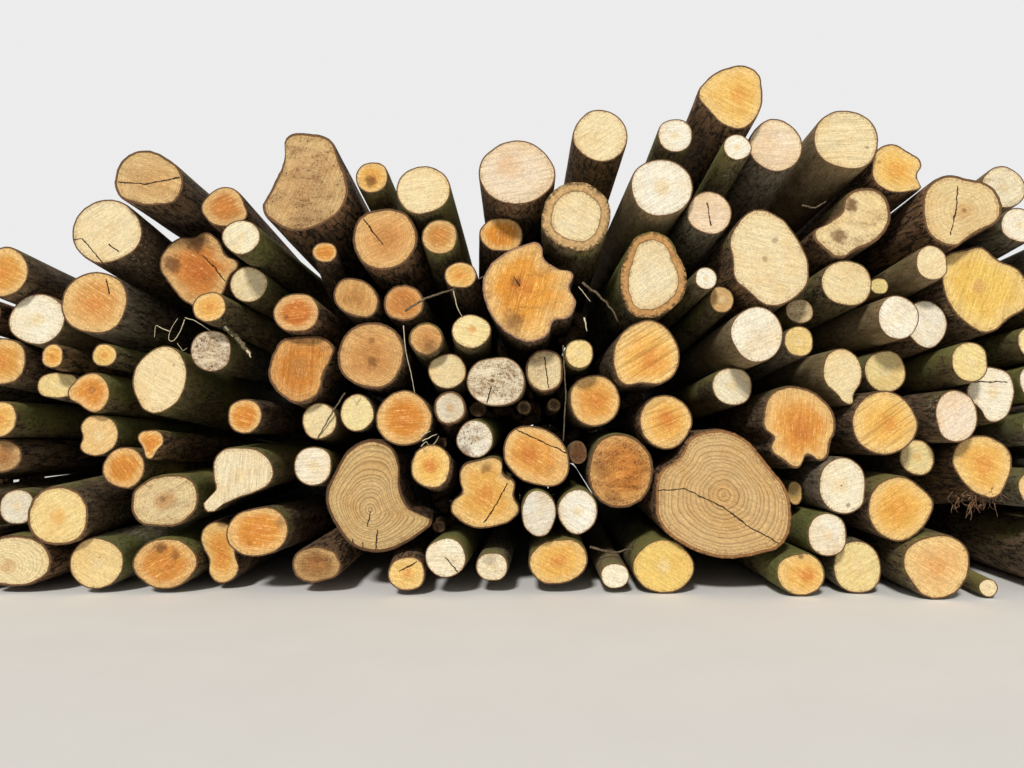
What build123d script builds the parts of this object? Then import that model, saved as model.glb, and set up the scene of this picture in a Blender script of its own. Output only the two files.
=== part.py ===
"""A stack of sawn round logs, cut to length and piled loose on the ground with their cut ends to the front.

Axes: +X runs along the stack, +Y runs from the front ends to the far ends, +Z is up.
The origin is on the ground, in the middle of the stack's outer size.
All sizes are in millimetres.
"""

import math
import os
from dataclasses import dataclass
from functools import partial

import numpy as np
from build123d import *

# The stock
LOG_LENGTH = 3000.0
LENGTH_SPREAD = 60.0
TYPICAL_RADIUS = 160.0
TAPER_EVENNESS = 0.7

# The view that the front ends were placed from: its distance from the front of the stack, and its height
SIGHT_DISTANCE = 3850.0
SIGHT_HEIGHT = 890.0

# How the pieces lie against each other, and how far apart the logs of one set are at the front
CONTACT_GAP = 0.4
FRONT_GIVE = 0.1
FRONT_PULL = 0.12
SEATED_GAP = 0.8
SET_SPACING = 190.0
LOGS_PER_SET = 4

# How many points shape a round outline, and how uneven it is
ROUND_POINTS = 8
END_ROUGHNESS = 0.018

# How long the settling goes on, and how finely it looks round a log
SINKING_ROUNDS = 220
PARTING_ROUNDS = SINKING_ROUNDS // 2
STEPS_ROUND = 720
SAMPLES_PER_ARC = 12

# How far a log's ends may come down as it is laid, and how near the ground a log counts as lying on it
FAR_DROP = 60.0
FRONT_DROP = 12.0
GROUND_REACH = 25.0

# What each round of the sinking does: how far it lowers a far end, how strongly it draws a front end back
# to its place (both at the last round, and how much more at the first), and how strongly a far end goes
# straight behind its front end
LAST_SINK = 0.3
EXTRA_SINK = 4.0
LAST_PULL = 0.01
EXTRA_PULL = 0.1
STRAIGHTENING = 0.02

# The share of an overlap that one round takes away, while the logs sink and while they are parted
SINKING_SHARE = 0.55
PARTING_SHARE = 0.8

# The least part of that gap which still counts when a log backs off, and the least way worth sliding
ENOUGH_SHARE = 0.2
LEAST_SLIDE = 0.1

# How far off a log still counts as a neighbour, how close once all are parted, and how often that is renewed
NEIGHBOUR_REACH = 60.0
CLOSE_REACH = 20.0
RENEWED_EVERY = 20

# How far beyond two logs' common length, and how far to each side of the other's middle, a gap is looked for
END_MARGIN = 20.0
LOOKING_ROUND = 1.25

# How many slices along the logs, and rays in each, a gap is looked for with
COARSE = (3, 9)
MIDDLING = (5, 15)
FINE = (11, 41)

# The most rounds in which a log backs off, and the share of an arc's radius that the taper may use up
BACKING_OFF = (40,)
ARC_SHARE = 0.6

# Less than this is taken for nothing
NOTHING = 1e-9


@dataclass
class Log:
    """One log: its wood, where the middle of its front end shows, and that end's width, height and turn.

    It may be set back, its far end may lean to one side or up, and its outline may have its own corners.
    """

    wood: str
    x: float
    z: float
    width: float
    height: float
    turn: float = 0.0
    set_back: float = 0.0
    lean: tuple = (0.0, 0.0)
    corners: tuple = ()


ash = partial(Log, "ash")
alder = partial(Log, "alder")
birch = partial(Log, "birch")
spruce = partial(Log, "spruce")
oak = partial(Log, "oak")

# Outlines of the ends that aren't round, as points from the middle of the end
SPLIT_OVAL = ((-170, 60), (-115, 130), (-15, 150), (85, 110), (160, 35), (172, -60), (135, -125),
              (35, -148), (-90, -135), (-160, -95))
HEART = ((-185, 50), (-150, 125), (-95, 170), (-20, 178), (45, 205), (105, 165), (145, 92), (210, 40),
         (170, -25), (145, -100), (70, -190), (-30, -175), (-120, -90))
EGG = ((-130, -15), (-85, 65), (0, 100), (65, 65), (92, 5), (80, -65), (25, -110), (-60, -75))
KIDNEY = ((-65, 85), (0, 100), (70, 75), (100, 15), (90, -50), (35, -100), (-25, -110), (-85, -78),
          (-80, -10), (-90, 45))
WEDGE = ((-65, 45), (-10, 65), (42, 55), (66, 10), (32, -50), (-5, -90), (-42, -35))
PEAR = ((-95, 50), (-70, 110), (-10, 135), (55, 110), (80, 30), (88, -50), (100, -120), (65, -165),
        (0, -178), (-42, -140), (-52, -60), (-82, 0))
SPURRED = ((-105, 125), (-30, 135), (80, 115), (135, 60), (150, -10), (120, -60), (45, -100),
           (-30, -125), (-100, -152), (-182, -190), (-200, -158), (-145, -95), (-155, 0), (-150, 75))
TEARDROP = ((-5, 285), (80, 255), (125, 175), (135, 60), (190, -70), (295, -140), (245, -188),
            (170, -240), (-15, -285), (-120, -240), (-195, -140), (-240, 15), (-195, 125), (-120, 240))
SLAB = ((-100, 155), (0, 175), (125, 165), (170, 120), (160, 65), (125, -20), (100, -120), (0, -175),
        (-85, -140), (-155, -50), (-145, 70))
THREE_SIDED = ((-115, 0), (-85, 60), (0, 110), (65, 90), (105, 25), (120, -60), (75, -90), (0, -110),
               (-75, -80))
TALL_HALF = ((-110, 290), (-25, 300), (100, 265), (155, 150), (200, 40), (205, -50), (165, -140),
             (75, -205), (-35, -240), (-150, -210), (-230, -130), (-195, -10), (-140, 135))
BUTTRESSED = ((-115, 215), (-30, 250), (60, 260), (85, 180), (160, 125), (230, 105), (215, 30),
              (245, -60), (210, -125), (130, -150), (105, -210), (10, -255), (-80, -225), (-145, -175),
              (-215, -60), (-235, 40), (-200, 140))
BROKEN_BLOCK = ((-125, 120), (-25, 170), (70, 175), (105, 85), (150, 55), (150, -20), (175, -95),
                (140, -140), (65, -170), (-95, -165), (-175, -60), (-120, 5), (-130, 65))
GREAT_OVAL = ((-150, 290), (-40, 325), (100, 290), (225, 155), (325, 15), (345, -110), (300, -250),
              (150, -310), (-40, -320), (-200, -260), (-325, -145), (-340, -10), (-315, 110),
              (-225, 180))
FLUTED = ((-175, 70), (-140, 160), (-50, 205), (40, 195), (125, 145), (180, 70), (190, -15), (165, -80),
          (110, -180), (40, -155), (-10, -215), (-90, -180), (-150, -120), (-135, -65), (-180, -5))
RIDGED_TOP = ((-175, 20), (-130, 95), (-5, 170), (70, 180), (145, 130), (160, 55), (145, -80),
              (100, -150), (30, -190), (-40, -170), (-120, -85))
NOTCHED = ((-120, 40), (-80, 115), (-20, 135), (70, 90), (130, 35), (105, -60), (120, -110), (80, -125),
           (-45, -125), (-105, -85))
BITTEN = ((50, 175), (140, 145), (180, 50), (165, -35), (100, -115), (-10, -165), (-100, -205),
          (-175, -155), (-225, -75), (-150, -15), (-75, 50), (-40, 135))
HELMET = ((-205, 0), (-170, 125), (-80, 190), (45, 175), (160, 135), (210, 35), (185, -60), (110, -105),
          (30, -150), (-55, -200), (-140, -175), (-195, -105))
LEANING_EGG = ((-65, 255), (70, 210), (145, 115), (205, -45), (190, -145), (120, -215), (-15, -250),
               (-105, -185), (-180, -110), (-190, -10), (-200, 90), (-155, 185))
THICK_BARKED = ((-75, 210), (0, 225), (75, 200), (130, 110), (175, -15), (160, -100), (75, -190),
                (-15, -225), (-105, -210), (-165, -110), (-175, 0), (-140, 110))
FLAT_FOOTED = ((-175, -10), (-145, 75), (-60, 150), (15, 170), (90, 140), (150, 65), (170, -20),
               (145, -110), (90, -160), (-35, -165), (-125, -165), (-170, -85))
BROAD_BUTT = ((-190, 180), (-90, 215), (-10, 230), (70, 165), (185, 95), (225, 5), (210, -80),
              (120, -145), (-15, -225), (-130, -160), (-180, -95), (-220, 30))
DROPLET = ((-105, 65), (-70, 125), (-5, 145), (60, 115), (95, 30), (85, -35), (45, -95), (30, -145),
           (-5, -135), (-40, -95), (-100, -35))
TUSKED = ((-120, 0), (-75, 90), (-25, 140), (50, 140), (110, 110), (130, 50), (115, -40), (65, -120),
          (-10, -140), (-60, -75))
TOP_SHAPED = ((-150, 40), (-115, 115), (-25, 160), (75, 145), (145, 75), (145, 0), (110, -85),
              (50, -155), (-40, -140), (-115, -65))
ROUNDED_SQUARE = ((-160, 15), (-130, 100), (-70, 150), (20, 165), (105, 115), (165, 35), (140, -50),
                  (80, -125), (-5, -165), (-95, -135), (-150, -65))
TRAPEZE = ((-160, 20), (-130, 100), (-55, 145), (95, 150), (155, 100), (170, 10), (145, -75), (85, -140),
           (-55, -150), (-120, -80))

LOGS = [
    # Left quarter, from the top
    oak(-1845, 2080, 345, 300, corners=SPLIT_OVAL, set_back=-60),
    ash(-2040, 1820, 355, 340),
    alder(-2550, 1585, 260, 270),
    ash(-2410, 1370, 290, 270, set_back=40),
    alder(-2105, 1450, 345, 330),
    alder(-2550, 1170, 250, 250),
    alder(-2305, 1180, 115, 135, set_back=-20),
    alder(-2045, 1185, 140, 125),
    ash(-2275, 1035, 230, 135, set_back=80),
    alder(-2100, 995, 220, 210, corners=EGG, set_back=-40),
    ash(-1765, 1065, 270, 350, turn=-8),
    alder(-1560, 1460, 185, 165, set_back=-90),
    alder(-1580, 1590, 400, 380, corners=HEART, set_back=130),
    birch(-1505, 1210, 205, 215, lean=(-350, 60)),
    alder(-2560, 865, 180, 190),
    oak(-2550, 680, 210, 180, set_back=60),
    ash(-2045, 765, 200, 210, corners=KIDNEY),
    alder(-1800, 750, 135, 160, corners=WEDGE, set_back=-60),
    alder(-1915, 630, 215, 215),
    oak(-1750, 470, 360, 270, turn=12),
    ash(-2470, 430, 180, 185, set_back=50),
    ash(-2250, 375, 310, 310, set_back=-60),
    spruce(-2480, 160, 370, 265),
    ash(-2065, 160, 270, 260),
    alder(-1720, 150, 320, 260),
    alder(-1450, 230, 200, 310, corners=PEAR, set_back=90),
    alder(-1265, 305, 325, 250, turn=8, set_back=-40),
    ash(-1330, 590, 350, 325, corners=SPURRED),
    # Left middle
    ash(-985, 630, 195, 205),
    alder(-1335, 880, 180, 185),
    ash(-965, 865, 180, 190, set_back=50),
    ash(-775, 895, 175, 195),
    spruce(-680, 490, 545, 570, corners=TEARDROP, set_back=20),
    oak(-705, 1185, 350, 355),
    oak(-1060, 1110, 325, 350, corners=SLAB),
    alder(-1085, 1390, 245, 210, set_back=-50),
    oak(-785, 1475, 260, 200, turn=-30, set_back=60),
    oak(-545, 1450, 215, 200, set_back=60),
    ash(-1330, 1540, 195, 190, set_back=80),
    ash(-1375, 1755, 200, 185, set_back=-130),
    alder(-1460, 1940, 235, 220, corners=THREE_SIDED, set_back=40),
    oak(-1035, 2040, 435, 540, corners=TALL_HALF, set_back=-40),
    alder(-945, 1705, 135, 115, lean=(-250, -250)),
    alder(-710, 2090, 175, 175, set_back=30),
    oak(-640, 1780, 345, 340),
    ash(-455, 2020, 285, 265),
    # Middle
    ash(20, 2100, 395, 345, set_back=-60),
    ash(450, 2305, 285, 290, set_back=30),
    oak(325, 1890, 360, 370, set_back=-110),
    alder(-365, 1785, 190, 195),
    alder(-45, 1810, 235, 190, set_back=90),
    alder(-260, 1590, 175, 145, set_back=40),
    alder(80, 1500, 480, 515, corners=BUTTRESSED, set_back=-60),
    ash(-205, 1305, 205, 180, set_back=-60),
    oak(-425, 1260, 185, 180),
    ash(-305, 1105, 200, 185, set_back=60),
    birch(-95, 1035, 305, 255, set_back=-60),
    oak(150, 1105, 200, 230, set_back=60),
    ash(335, 1190, 150, 155, set_back=-60),
    alder(415, 960, 265, 270, set_back=50),
    spruce(-310, 915, 170, 180),
    alder(-540, 855, 290, 285),
    birch(-215, 765, 190, 195),
    alder(-400, 630, 210, 230, set_back=-110),
    alder(-135, 485, 350, 345, corners=BROKEN_BLOCK),
    alder(130, 680, 370, 285, turn=-32),
    birch(320, 700, 90, 120, set_back=100),
    oak(535, 590, 340, 390, set_back=20),
    birch(135, 400, 175, 240, set_back=-60),
    ash(345, 430, 205, 230),
    birch(-330, 180, 210, 200, set_back=-60),
    alder(-520, 100, 195, 180, set_back=-50),
    ash(-100, 135, 170, 150),
    alder(230, 160, 310, 230, turn=12),
    birch(510, 90, 150, 130),
    oak(-970, 145, 260, 190),
    ash(750, 130, 310, 270),
    # Thin ones deep between the others
    ash(-150, 900, 85, 80, set_back=260),
    alder(45, 935, 80, 80, set_back=240),
    oak(-360, 330, 75, 70, set_back=210),
    ash(-355, 745, 65, 65, set_back=250),
    alder(210, 935, 75, 75, set_back=230),
    # Right middle
    spruce(1040, 500, 690, 650, corners=GREAT_OVAL, set_back=-50),
    alder(775, 840, 270, 280),
    alder(1440, 820, 380, 420, corners=FLUTED, set_back=-20),
    alder(1440, 40, 250, 220, set_back=-60),
    ash(1410, 500, 80, 130, set_back=150),
    alder(1120, 2510, 335, 370, corners=RIDGED_TOP, set_back=-50),
    ash(830, 2305, 185, 185),
    ash(765, 2035, 325, 310, set_back=-50),
    ash(1145, 2245, 150, 150, set_back=-100),
    ash(1340, 2255, 275, 295),
    ash(995, 1910, 235, 235),
    ash(1700, 2285, 345, 330),
    ash(1295, 1675, 405, 505, corners=LEANING_EGG, set_back=-60),
    oak(715, 1590, 350, 450, corners=THICK_BARKED),
    ash(990, 1560, 120, 125, set_back=-50),
    ash(1080, 1475, 130, 145, set_back=40),
    alder(675, 1200, 345, 335, corners=FLAT_FOOTED, set_back=-50),
    birch(1225, 1280, 270, 290, set_back=-80),
    birch(1445, 1410, 145, 130, set_back=90),
    ash(1440, 1255, 155, 165),
    ash(1105, 1045, 210, 200, set_back=110),
    # Right quarter
    alder(1960, 2125, 260, 265, corners=NOTCHED, set_back=40),
    ash(1740, 1865, 400, 380, corners=BITTEN, set_back=40),
    spruce(2270, 1915, 415, 390, corners=HELMET, set_back=-50),
    ash(2490, 2040, 230, 230, set_back=100),
    ash(2565, 1845, 190, 190),
    ash(1690, 1560, 270, 245, set_back=20),
    birch(1850, 1535, 100, 90, set_back=150),
    ash(2135, 1650, 165, 195, set_back=-60, lean=(0, -200)),
    alder(2380, 1510, 445, 450, corners=BROAD_BUTT),
    birch(1955, 1375, 210, 230, set_back=-80),
    birch(2120, 1365, 210, 250, set_back=60),
    ash(1670, 1075, 200, 290, corners=DROPLET),
    ash(1870, 1100, 215, 220, set_back=80),
    ash(2295, 1140, 185, 215, set_back=-110),
    ash(2390, 990, 250, 280, corners=TUSKED),
    ash(2630, 1250, 190, 180),
    ash(2235, 850, 220, 275, set_back=-50, lean=(0, 250)),
    alder(1860, 850, 335, 330, set_back=-50),
    alder(2340, 640, 300, 315, corners=TOP_SHAPED, set_back=30),
    alder(2015, 675, 180, 190, set_back=110),
    ash(1630, 530, 240, 295, set_back=-80),
    ash(1590, 265, 200, 225, set_back=-60),
    ash(1685, 90, 240, 270),
    alder(1935, 415, 325, 330, corners=ROUNDED_SQUARE, set_back=-80),
    alder(2095, 80, 335, 300, corners=TRAPEZE, set_back=-130),
    ash(2355, 30, 95, 95, set_back=-100, lean=(-150, 420)),
    ash(2610, 520, 190, 200),
    oak(2800, 130, 390, 350),
    ash(2640, 825, 180, 180),
    # Left end of the stack
    alder(-2770, 130, 260, 250),
    ash(-2685, 415, 220, 220),
    alder(-3000, 120, 230, 230),
    ash(-2760, 640, 180, 180),
    oak(-2910, 390, 200, 200),
    alder(-2750, 850, 170, 170),
    ash(-2770, 1050, 150, 170),
    birch(-3200, 100, 190, 190),
    alder(-3110, 315, 170, 170),
    ash(-2960, 600, 180, 180),
    alder(-2760, 1265, 170, 170),
    oak(-2660, 1380, 180, 170, set_back=100),
    # Right end of the stack
    ash(2740, 1680, 200, 200),
    alder(2700, 1465, 220, 220),
    alder(2830, 1315, 200, 200),
    ash(2830, 1090, 220, 220),
    birch(2640, 1050, 190, 190),
    oak(2840, 830, 210, 210),
    ash(2830, 540, 230, 230),
    alder(3050, 640, 200, 200),
    alder(3140, 115, 250, 250),
    ash(2980, 365, 220, 220),
    birch(3190, 340, 190, 190),
    ash(3365, 90, 200, 200),
    alder(3030, 865, 190, 190),
]


def wave(seed, step):
    """A repeatable number from -1 to 1 for each seed and step."""
    return math.sin(12.9898 * (seed + 1) + 78.233 * (step + 1))


def cross(a, b):
    """How far b turns to the left of a."""
    return a[0] * b[1] - a[1] * b[0]


class Arc:
    """One arc of an end's outline, which runs anticlockwise. An outward arc bulges 1 and a hollow one -1."""

    def __init__(self, start, along, end):
        along = along / np.hypot(*along)
        chord = end - start
        bend = 2 * cross(along, chord) / (chord @ chord) or NOTHING
        self.start = start
        self.end = end
        self.centre = start + np.array([-along[1], along[0]]) / bend
        self.radius = 1 / abs(bend)
        self.bulge = math.copysign(1, bend)
        self.sweep = 2 * math.atan2(abs(cross(along, chord)), along @ chord)

    def at(self, share, depth):
        """The point at a share of the way along the arc, moved in by depth."""
        turn = share * self.sweep * self.bulge
        spoke = (self.start - self.centre) * (1 - self.bulge * depth / self.radius)
        cos, sin = math.cos(turn), math.sin(turn)
        return self.centre + [cos * spoke[0] - sin * spoke[1], sin * spoke[0] + cos * spoke[1]]


def tangent_arcs(points):
    """Arcs through the points that run smoothly into each other, two from each point to the next."""
    before = points - np.roll(points, 1, 0)
    after = np.roll(points, -1, 0) - points
    along = before / (before**2).sum(1)[:, None] + after / (after**2).sum(1)[:, None]
    along /= np.hypot(*along.T)[:, None]
    arcs = []
    for p, q, s, t in zip(points, np.roll(points, -1, 0), along, np.roll(along, -1, 0)):
        step = q - p
        both = step @ (s + t)
        apart = 2 * (1 - s @ t)
        if apart > NOTHING:
            reach = (math.sqrt(both**2 + apart * (step @ step)) - both) / apart
        else:
            reach = step @ step / (2 * both)
        joint = (p + q + reach * (s - t)) / 2
        arcs.append(Arc(p, s, joint))
        arcs.append(Arc(joint, q - reach * t - joint, q))
    return arcs


def front_outline(log, i):
    """The arcs of a log's front end, about the middle of the end."""
    if log.corners:
        corners = sorted(log.corners, key=lambda corner: math.atan2(corner[1], corner[0]))
        points = np.array(corners, float)
    else:
        angles = (np.arange(ROUND_POINTS) + wave(i, 3)) * math.tau / ROUND_POINTS
        turned = angles - math.radians(log.turn)
        radii = log.width * log.height / 2 / np.hypot(log.height * np.cos(turned), log.width * np.sin(turned))
        lobes = np.cos(3 * angles + 3 * wave(i, 1)) + np.cos(4 * angles + 3 * wave(i, 2))
        radii *= 1 + END_ROUGHNESS * lobes
        points = radii[:, None] * np.stack([np.cos(angles), np.sin(angles)], 1)
    return tangent_arcs(points * (1 + log.set_back / SIGHT_DISTANCE))


def radii_round(arcs, depth):
    """The outline's radius, moved in by depth, at every step of the way round."""
    points = np.array([arc.at(k / SAMPLES_PER_ARC, depth) for arc in arcs for k in range(SAMPLES_PER_ARC)])
    angles = np.arctan2(points[:, 1], points[:, 0])
    steps = np.arange(STEPS_ROUND) * math.tau / STEPS_ROUND
    return np.interp(steps, angles, np.hypot(*points.T), period=math.tau)


class Stack:
    """Where every log lies, once no log cuts another and each one rests on its neighbours."""

    def __init__(self, logs):
        self.logs = logs
        self.count = len(logs)
        grown = np.array([1 + log.set_back / SIGHT_DISTANCE for log in logs])[:, None]
        sight = np.array([0.0, SIGHT_HEIGHT])
        self.front = (np.array([(log.x, log.z) for log in logs]) - sight) * grown + sight
        self.aim = self.front.copy()
        lean = np.array([log.lean for log in logs], float)
        self.far = self.front + lean
        self.straight = (np.abs(lean).sum(1) == 0).astype(float)
        self.start = np.array([log.set_back for log in logs], float)
        uneven = np.array([wave(i, 5) * wave(i, 6) for i in range(self.count)])
        self.length = LOG_LENGTH + LENGTH_SPREAD * uneven
        self.outlines = [front_outline(log, i) for i, log in enumerate(logs)]
        self.front_radii = np.array([radii_round(arcs, 0.0) for arcs in self.outlines])
        thick = self.front_radii.mean(1)
        self.ease = TYPICAL_RADIUS / thick
        self.taper = [self.workable_taper(arcs, (r - TYPICAL_RADIUS) * (1 - TAPER_EVENNESS))
                      for arcs, r in zip(self.outlines, thick)]
        ends = zip(self.outlines, self.taper)
        self.far_radii = np.array([radii_round(arcs, depth) for arcs, depth in ends])
        self.widest = np.maximum(self.front_radii.max(1), self.far_radii.max(1))
        down = -np.sin(np.arange(STEPS_ROUND) * math.tau / STEPS_ROUND)
        self.front_drop = (self.front_radii * down).max(1)
        self.far_drop = (self.far_radii * down).max(1)

    @staticmethod
    def workable_taper(arcs, depth):
        """How far the sides can come in by the far end, so that no arc of the outline is used up."""
        outward = min(arc.radius for arc in arcs if arc.bulge > 0)
        hollow = min([arc.radius for arc in arcs if arc.bulge < 0], default=math.inf)
        return max(-ARC_SHARE * hollow, min(ARC_SHARE * outward, depth))

    def radius(self, logs, shares, angles):
        """How far each log's surface is from its middle, level with the ground, at a share of its length."""
        step = (angles * (STEPS_ROUND / math.tau)).astype(int) % STEPS_ROUND
        front = self.front_radii[logs, step]
        slope = (self.far[logs] - self.front[logs]) / self.length[logs][..., None]
        across = slope[..., 0] * np.cos(angles) + slope[..., 1] * np.sin(angles)
        return (front + shares * (self.far_radii[logs, step] - front)) * (1 + 0.5 * across**2)

    def neighbours(self, one, two, reach):
        """Of the given pairs, those that come within reach of each other somewhere along their length."""
        near = np.full(len(one), np.inf)
        for share in (0.0, 0.25, 0.5, 0.75, 1.0):
            middle = (1 - share) * self.front + share * self.far
            near = np.minimum(near, np.hypot(*(middle[one] - middle[two]).T))
        keep = near < self.widest[one] + self.widest[two] + reach
        return one[keep], two[keep]

    def gaps(self, one, two, slices, rays):
        """For each pair: the least gap, the way from one to two there, and both shares of the length."""
        begin = np.maximum(self.start[one], self.start[two]) - END_MARGIN
        end = np.minimum(self.start[one] + self.length[one], self.start[two] + self.length[two]) + END_MARGIN
        y = begin[:, None] + (end - begin)[:, None] * np.linspace(0, 1, slices)
        shares = [(y - self.start[log][:, None]) / self.length[log][:, None] for log in (one, two)]
        run = self.far - self.front
        middles = [self.front[log][:, None] + share[..., None] * run[log][:, None]
                   for log, share in zip((one, two), shares)]
        between = middles[1] - middles[0]
        heading = np.arctan2(between[..., 1], between[..., 0])[..., None] + math.tau
        spread = np.linspace(-LOOKING_ROUND, LOOKING_ROUND, rays)
        best = np.full((len(one), slices), np.inf)
        way = np.zeros((len(one), slices, 2))
        for a, b, log_a, log_b, sign in ((0, 1, one, two, 1.0), (1, 0, two, one, -1.0)):
            facing = heading + spread + (math.pi if sign > 0 else 0.0)
            out = self.radius(log_b[:, None, None], shares[b][..., None], facing)
            place = np.stack([out * np.cos(facing), out * np.sin(facing)], -1) + (sign * between)[:, :, None]
            size = np.hypot(place[..., 0], place[..., 1])
            angle = np.arctan2(place[..., 1], place[..., 0]) + math.tau
            gap = size - self.radius(log_a[:, None, None], shares[a][..., None], angle)
            k = gap.argmin(2)[..., None]
            least = np.take_along_axis(gap, k, 2)[..., 0]
            at = np.take_along_axis(place, k[..., None], 2)[:, :, 0]
            less = least < best
            best = np.where(less, least, best)
            way = np.where(less[..., None], sign * at / np.hypot(*np.moveaxis(at, -1, 0))[..., None], way)
        k = best.argmin(1)
        row = np.arange(len(one))
        return best[row, k], way[row, k], shares[0][row, k], shares[1][row, k]

    def part_pairs(self, one, two, slices, rays, ease):
        """Moves every pair that is too close apart, and lifts what is below the ground."""
        gap, way, share_one, share_two = self.gaps(one, two, slices, rays)
        close = gap < CONTACT_GAP
        share_one = share_one[close, None]
        share_two = share_two[close, None]
        sides = ((one[close], share_one, -1.0), (two[close], share_two, 1.0))
        give = sum(self.ease[logs, None] * (FRONT_GIVE * (1 - share) ** 2 + share**2)
                   for logs, share, _ in sides)
        move = ((CONTACT_GAP - gap[close]) * ease)[:, None] / give * way[close]
        for logs, share, sign in sides:
            step = sign * self.ease[logs, None] * move
            np.add.at(self.front, logs, FRONT_GIVE * (1 - share) * step)
            np.add.at(self.far, logs, share * step)
        self.front[:, 1] = np.maximum(self.front[:, 1], self.front_drop)
        self.far[:, 1] = np.maximum(self.far[:, 1], self.far_drop)

    def settle(self):
        """Lets the far ends sink on to each other, while the front ends stay close to their places."""
        everyone = np.triu_indices(self.count, 1)
        for i in range(SINKING_ROUNDS):
            ease = 1 - i / SINKING_ROUNDS
            if i % RENEWED_EVERY == 0:
                one, two = self.neighbours(*everyone, NEIGHBOUR_REACH)
            self.far[:, 1] -= LAST_SINK + EXTRA_SINK * ease
            self.far[:, 0] += STRAIGHTENING * ease * self.straight * (self.front[:, 0] - self.far[:, 0])
            self.front += (LAST_PULL + EXTRA_PULL * ease) * (self.aim - self.front)
            self.part_pairs(one, two, *COARSE, SINKING_SHARE)
        for _ in range(2):
            self.spread(PARTING_ROUNDS, *MIDDLING, FRONT_PULL)
            self.lay()
        self.spread(2 * PARTING_ROUNDS, *FINE, 0.0)
        self.seat()

    def spread(self, rounds, slices, rays, pull):
        """Moves apart all logs that cut each other, round by round, with a pull to their front places."""
        for i in range(rounds):
            if i % RENEWED_EVERY == 0:
                one, two = self.neighbours(*np.triu_indices(self.count, 1), CLOSE_REACH)
            self.front += pull * (1 - i / rounds) ** 2 * (self.aim - self.front)
            self.part_pairs(one, two, slices, rays, PARTING_SHARE)

    def contacts(self, i, placed):
        """The gaps between log i and those already placed, the way to each, and the share of its length."""
        one, two = self.neighbours(np.full(len(placed), i), placed, NEIGHBOUR_REACH)
        gap, way, share, _ = self.gaps(one, two, *FINE)
        ground = [self.front[i, 1] - self.front_drop[i], self.far[i, 1] - self.far_drop[i]]
        down = [[0.0, -1.0], [0.0, -1.0]]
        return np.append(gap, ground), np.append(way, down, 0), np.append(share, [0.0, 1.0])

    def back_off(self, i, placed):
        """Moves log i out of the logs placed before it."""
        for _ in range(*BACKING_OFF):
            gap, way, share = self.contacts(i, placed)
            depth = np.maximum(0, CONTACT_GAP - gap)
            if depth.max() < ENOUGH_SHARE * CONTACT_GAP:
                break
            move = depth[:, None] * way
            self.front[i] -= PARTING_SHARE * ((1 - share[:, None]) * move).sum(0)
            self.far[i] -= PARTING_SHARE * (share[:, None] * move).sum(0)

    def slide(self, i, placed, front, far, limit):
        """Moves log i's ends along front and far until it comes up against something, or the limit."""
        gone = 0.0
        while gone < limit:
            free = self.contacts(i, placed)[0].min() - CONTACT_GAP
            if free < LEAST_SLIDE:
                break
            step = min(PARTING_SHARE * free, limit - gone)
            gone += step
            self.front[i] += step * front
            self.far[i] += step * far

    def lay(self):
        """Lays the logs one by one, lowest first, each on the ones already there."""
        down = np.array([0.0, -1.0])
        height = (self.front[:, 1] + self.far[:, 1]) / 2
        off_ground = np.minimum(self.front[:, 1] - self.front_drop, self.far[:, 1] - self.far_drop)
        grounded = off_ground < GROUND_REACH
        order = np.lexsort((np.where(grounded, np.abs(self.front[:, 0]), height), ~grounded))
        for n, i in enumerate(order):
            self.back_off(i, order[:n])
            self.slide(i, order[:n], 0 * down, down, FAR_DROP)
            self.slide(i, order[:n], down, 0 * down, FRONT_DROP)
            self.slide(i, order[:n], down, down, FRONT_DROP)

    def seat(self):
        """Brings each log that touches nothing on to its nearest neighbour."""
        for i in range(self.count):
            others = np.delete(np.arange(self.count), i)
            gap, way, _ = self.contacts(i, others)
            nearest = gap.argmin()
            if gap[nearest] > SEATED_GAP:
                self.slide(i, others, way[nearest], way[nearest], 2 * gap[nearest])


def build_log(stack, i):
    """One log as a solid: a piece of a cone behind each arc of its outline, and square-cut ends."""
    across, rise = stack.far[i] - stack.front[i]
    run = np.array([across, stack.length[i], rise])
    length = math.hypot(*run)

    def place(arc, share, far):
        x, z = arc.at(share, far * stack.taper[i])
        return Vector(x, far * length, z)

    faces = []
    for arc in stack.outlines[i]:
        side = Edge.make_line(place(arc, 0, 0), place(arc, 0, 1))
        axis = Axis((arc.centre[0], 0, arc.centre[1]), (0, -arc.bulge, 0))
        faces.append(Face.revolve(side, math.degrees(arc.sweep), axis))
    for far in (0, 1):
        edges = [Edge.make_three_point_arc(place(arc, 0, far), place(arc, 0.5, far), place(arc, 1, far))
                 for arc in stack.outlines[i]]
        faces.append(Face(Wire(edges)))
    solid = Solid(Shell(faces))
    upward = Vector(1, 0, 0).cross(Vector(*run))
    start = (stack.front[i, 0], stack.start[i], stack.front[i, 1])
    return Plane(start, x_dir=Vector(*run).cross(upward), z_dir=upward) * solid


def share_out(logs):
    """Splits the logs of each wood into small sets whose logs lie well apart from one another."""
    sets = {}
    for i in sorted(range(len(logs)), key=lambda i: logs[i].x):
        rows = sets.setdefault(logs[i].wood, [])
        for row in rows:
            if len(row) < LOGS_PER_SET and all(well_apart(logs[i], logs[j]) for j in row):
                row.append(i)
                break
        else:
            rows.append([i])
    return {f"{wood}_logs_{n + 1}": row for wood, rows in sets.items() for n, row in enumerate(rows)}


def well_apart(one, two):
    """Whether two logs of the list lie far enough apart to be in one set."""
    thick = (max(one.width, one.height) + max(two.width, two.height)) / 2
    return math.hypot(one.x - two.x, one.z - two.z) > thick + SET_SPACING


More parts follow.
